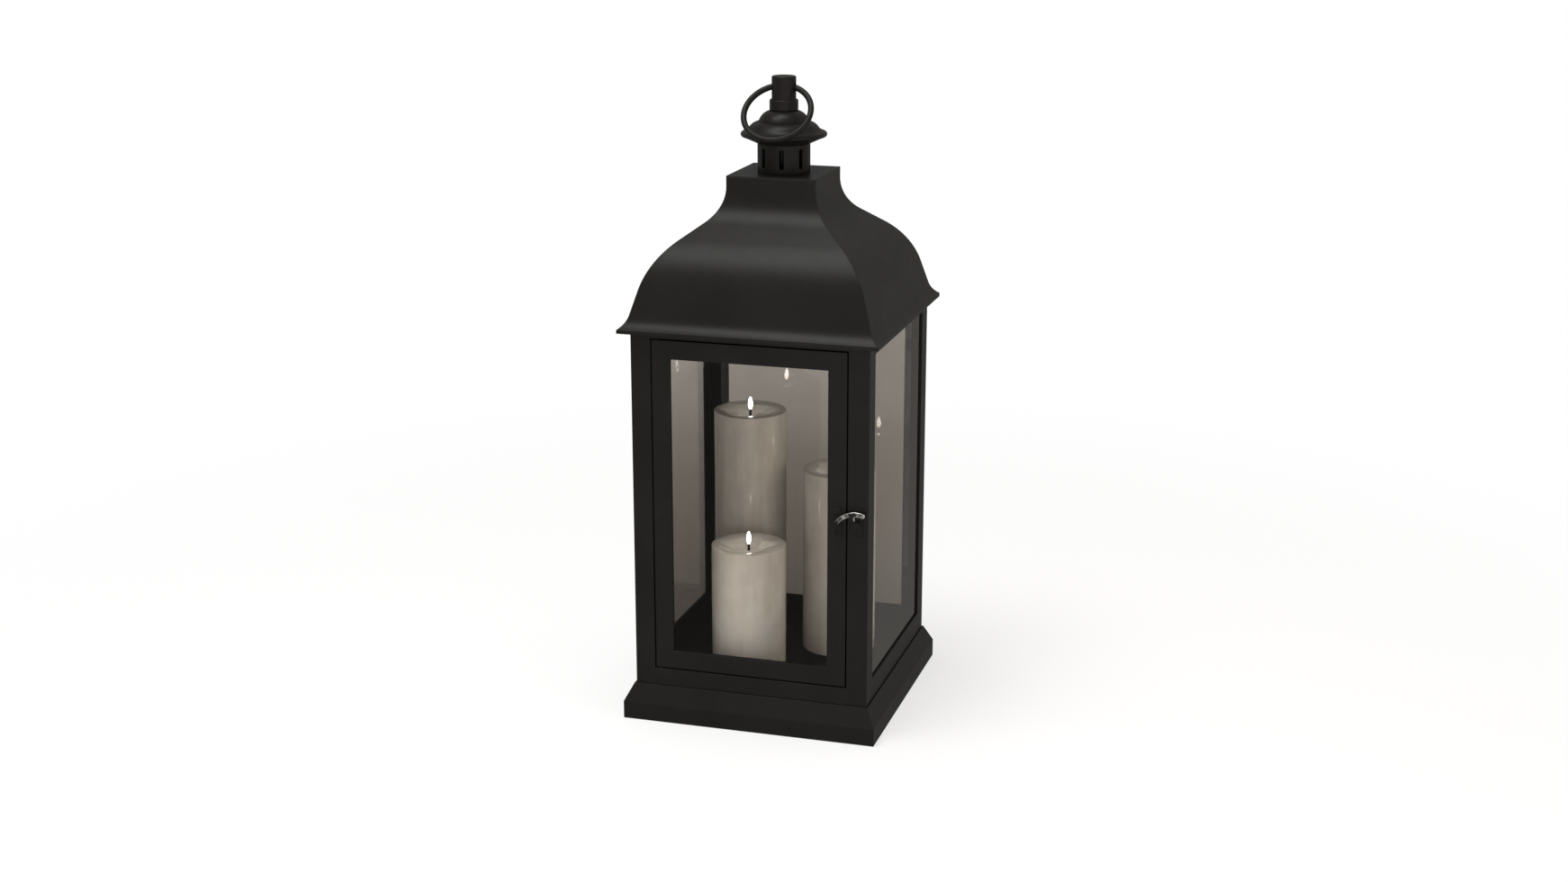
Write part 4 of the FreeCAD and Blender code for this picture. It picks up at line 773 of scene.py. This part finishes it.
eye = []
for angle in circle(EYE_STEPS):
    spoke = Vector((math.cos(angle), math.sin(angle)))
    ring_middle = spoke * (EYE_INSIDE + EYE_SEEN) / 2
    eye.append(section(ring_middle, spoke, (EYE_SEEN - EYE_INSIDE) / 2, half_thick * EYE_DEPTH))
arm = []
for i in range(ARM_STEPS + 1):
    share = i / ARM_STEPS
    angle = arm_start + (arm_end - arm_start) * share
    spoke = Vector((math.cos(angle), math.sin(angle)))
    arm.append(section(arm_centre + spoke * ARM_RADIUS, spoke, ARM_HALF_WIDE + ARM_WIDTH_GAIN * share,
                       half_thick * (ARM_DEPTH + ARM_DEPTH_GAIN * share)))
tooth = []
for share, half_wide in TOOTH_TAPER:
    at = Vector((TOOTH_RIGHT - half_wide, TOOTH_TOP - TOOTH_DROP * share))
    tooth.append(section(at, Vector((1.0, 0.0)), half_wide, half_thick * TOOTH_DEPTH))
ball = []
for i in range(1, BALL_STEPS):
    angle = math.pi * i / BALL_STEPS
    at = KNOB + Vector((-math.cos(angle), 0.0)) * KNOB_RADIUS
    ball.append(section(at, Vector((0.0, 1.0)), KNOB_RADIUS * math.sin(angle), half_thick * math.sin(angle)))
limbs = [
    spun("lever_eye", eye, closed=True),
    spun("lever_arm", arm),
    spun("lever_tooth", tooth),
    spun("lever_ball", ball),
]
print("limbs of the lever:", len(limbs))

# %% Melt the limbs into one skin
VOXEL = 0.00022

rough_form = bmesh.new()
for limb in limbs:
    rough_form.from_mesh(limb.data)
    bpy.data.objects.remove(limb)
bmesh.ops.recalc_face_normals(rough_form, faces=rough_form.faces)
lever_mesh = bpy.data.meshes.new("polished_lever")
rough_form.to_mesh(lever_mesh)
rough_form.free()
lever = bpy.data.objects.new("polished_lever", lever_mesh)
scene.collection.objects.link(lever)
melt = lever.modifiers.new("melt", "REMESH")
melt.mode = "VOXEL"
melt.voxel_size = VOXEL
skin = bpy.data.meshes.new_from_object(lever.evaluated_get(bpy.context.evaluated_depsgraph_get()))
lever.modifiers.clear()
print("skin of the lever:", len(skin.polygons), "faces")

# %% Smooth and dent the casting
SMOOTHINGS = 4
DENT_SIZE = 0.0024
DENT_DEPTH = 0.00034
DENT_LEVEL = 0.05

casting = bmesh.new()
casting.from_mesh(skin)
for _ in range(SMOOTHINGS):
    bmesh.ops.smooth_vert(casting, verts=casting.verts, factor=0.5,
                          use_axis_x=True, use_axis_y=True, use_axis_z=True)
casting.normal_update()
pressed = []
for vert in casting.verts:
    dent = max(0.0, noise.noise(vert.co / DENT_SIZE) - DENT_LEVEL)
    pressed.append(vert.co - vert.normal * DENT_DEPTH * dent)
for vert, co in zip(casting.verts, pressed):
    vert.co = co
casting.to_mesh(lever_mesh)
casting.free()
lever_mesh.shade_smooth()
lever_mesh.materials.append(bright_plate)
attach(lever, "latch")
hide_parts("latch_lever")
print("lever faces:", len(lever_mesh.polygons))
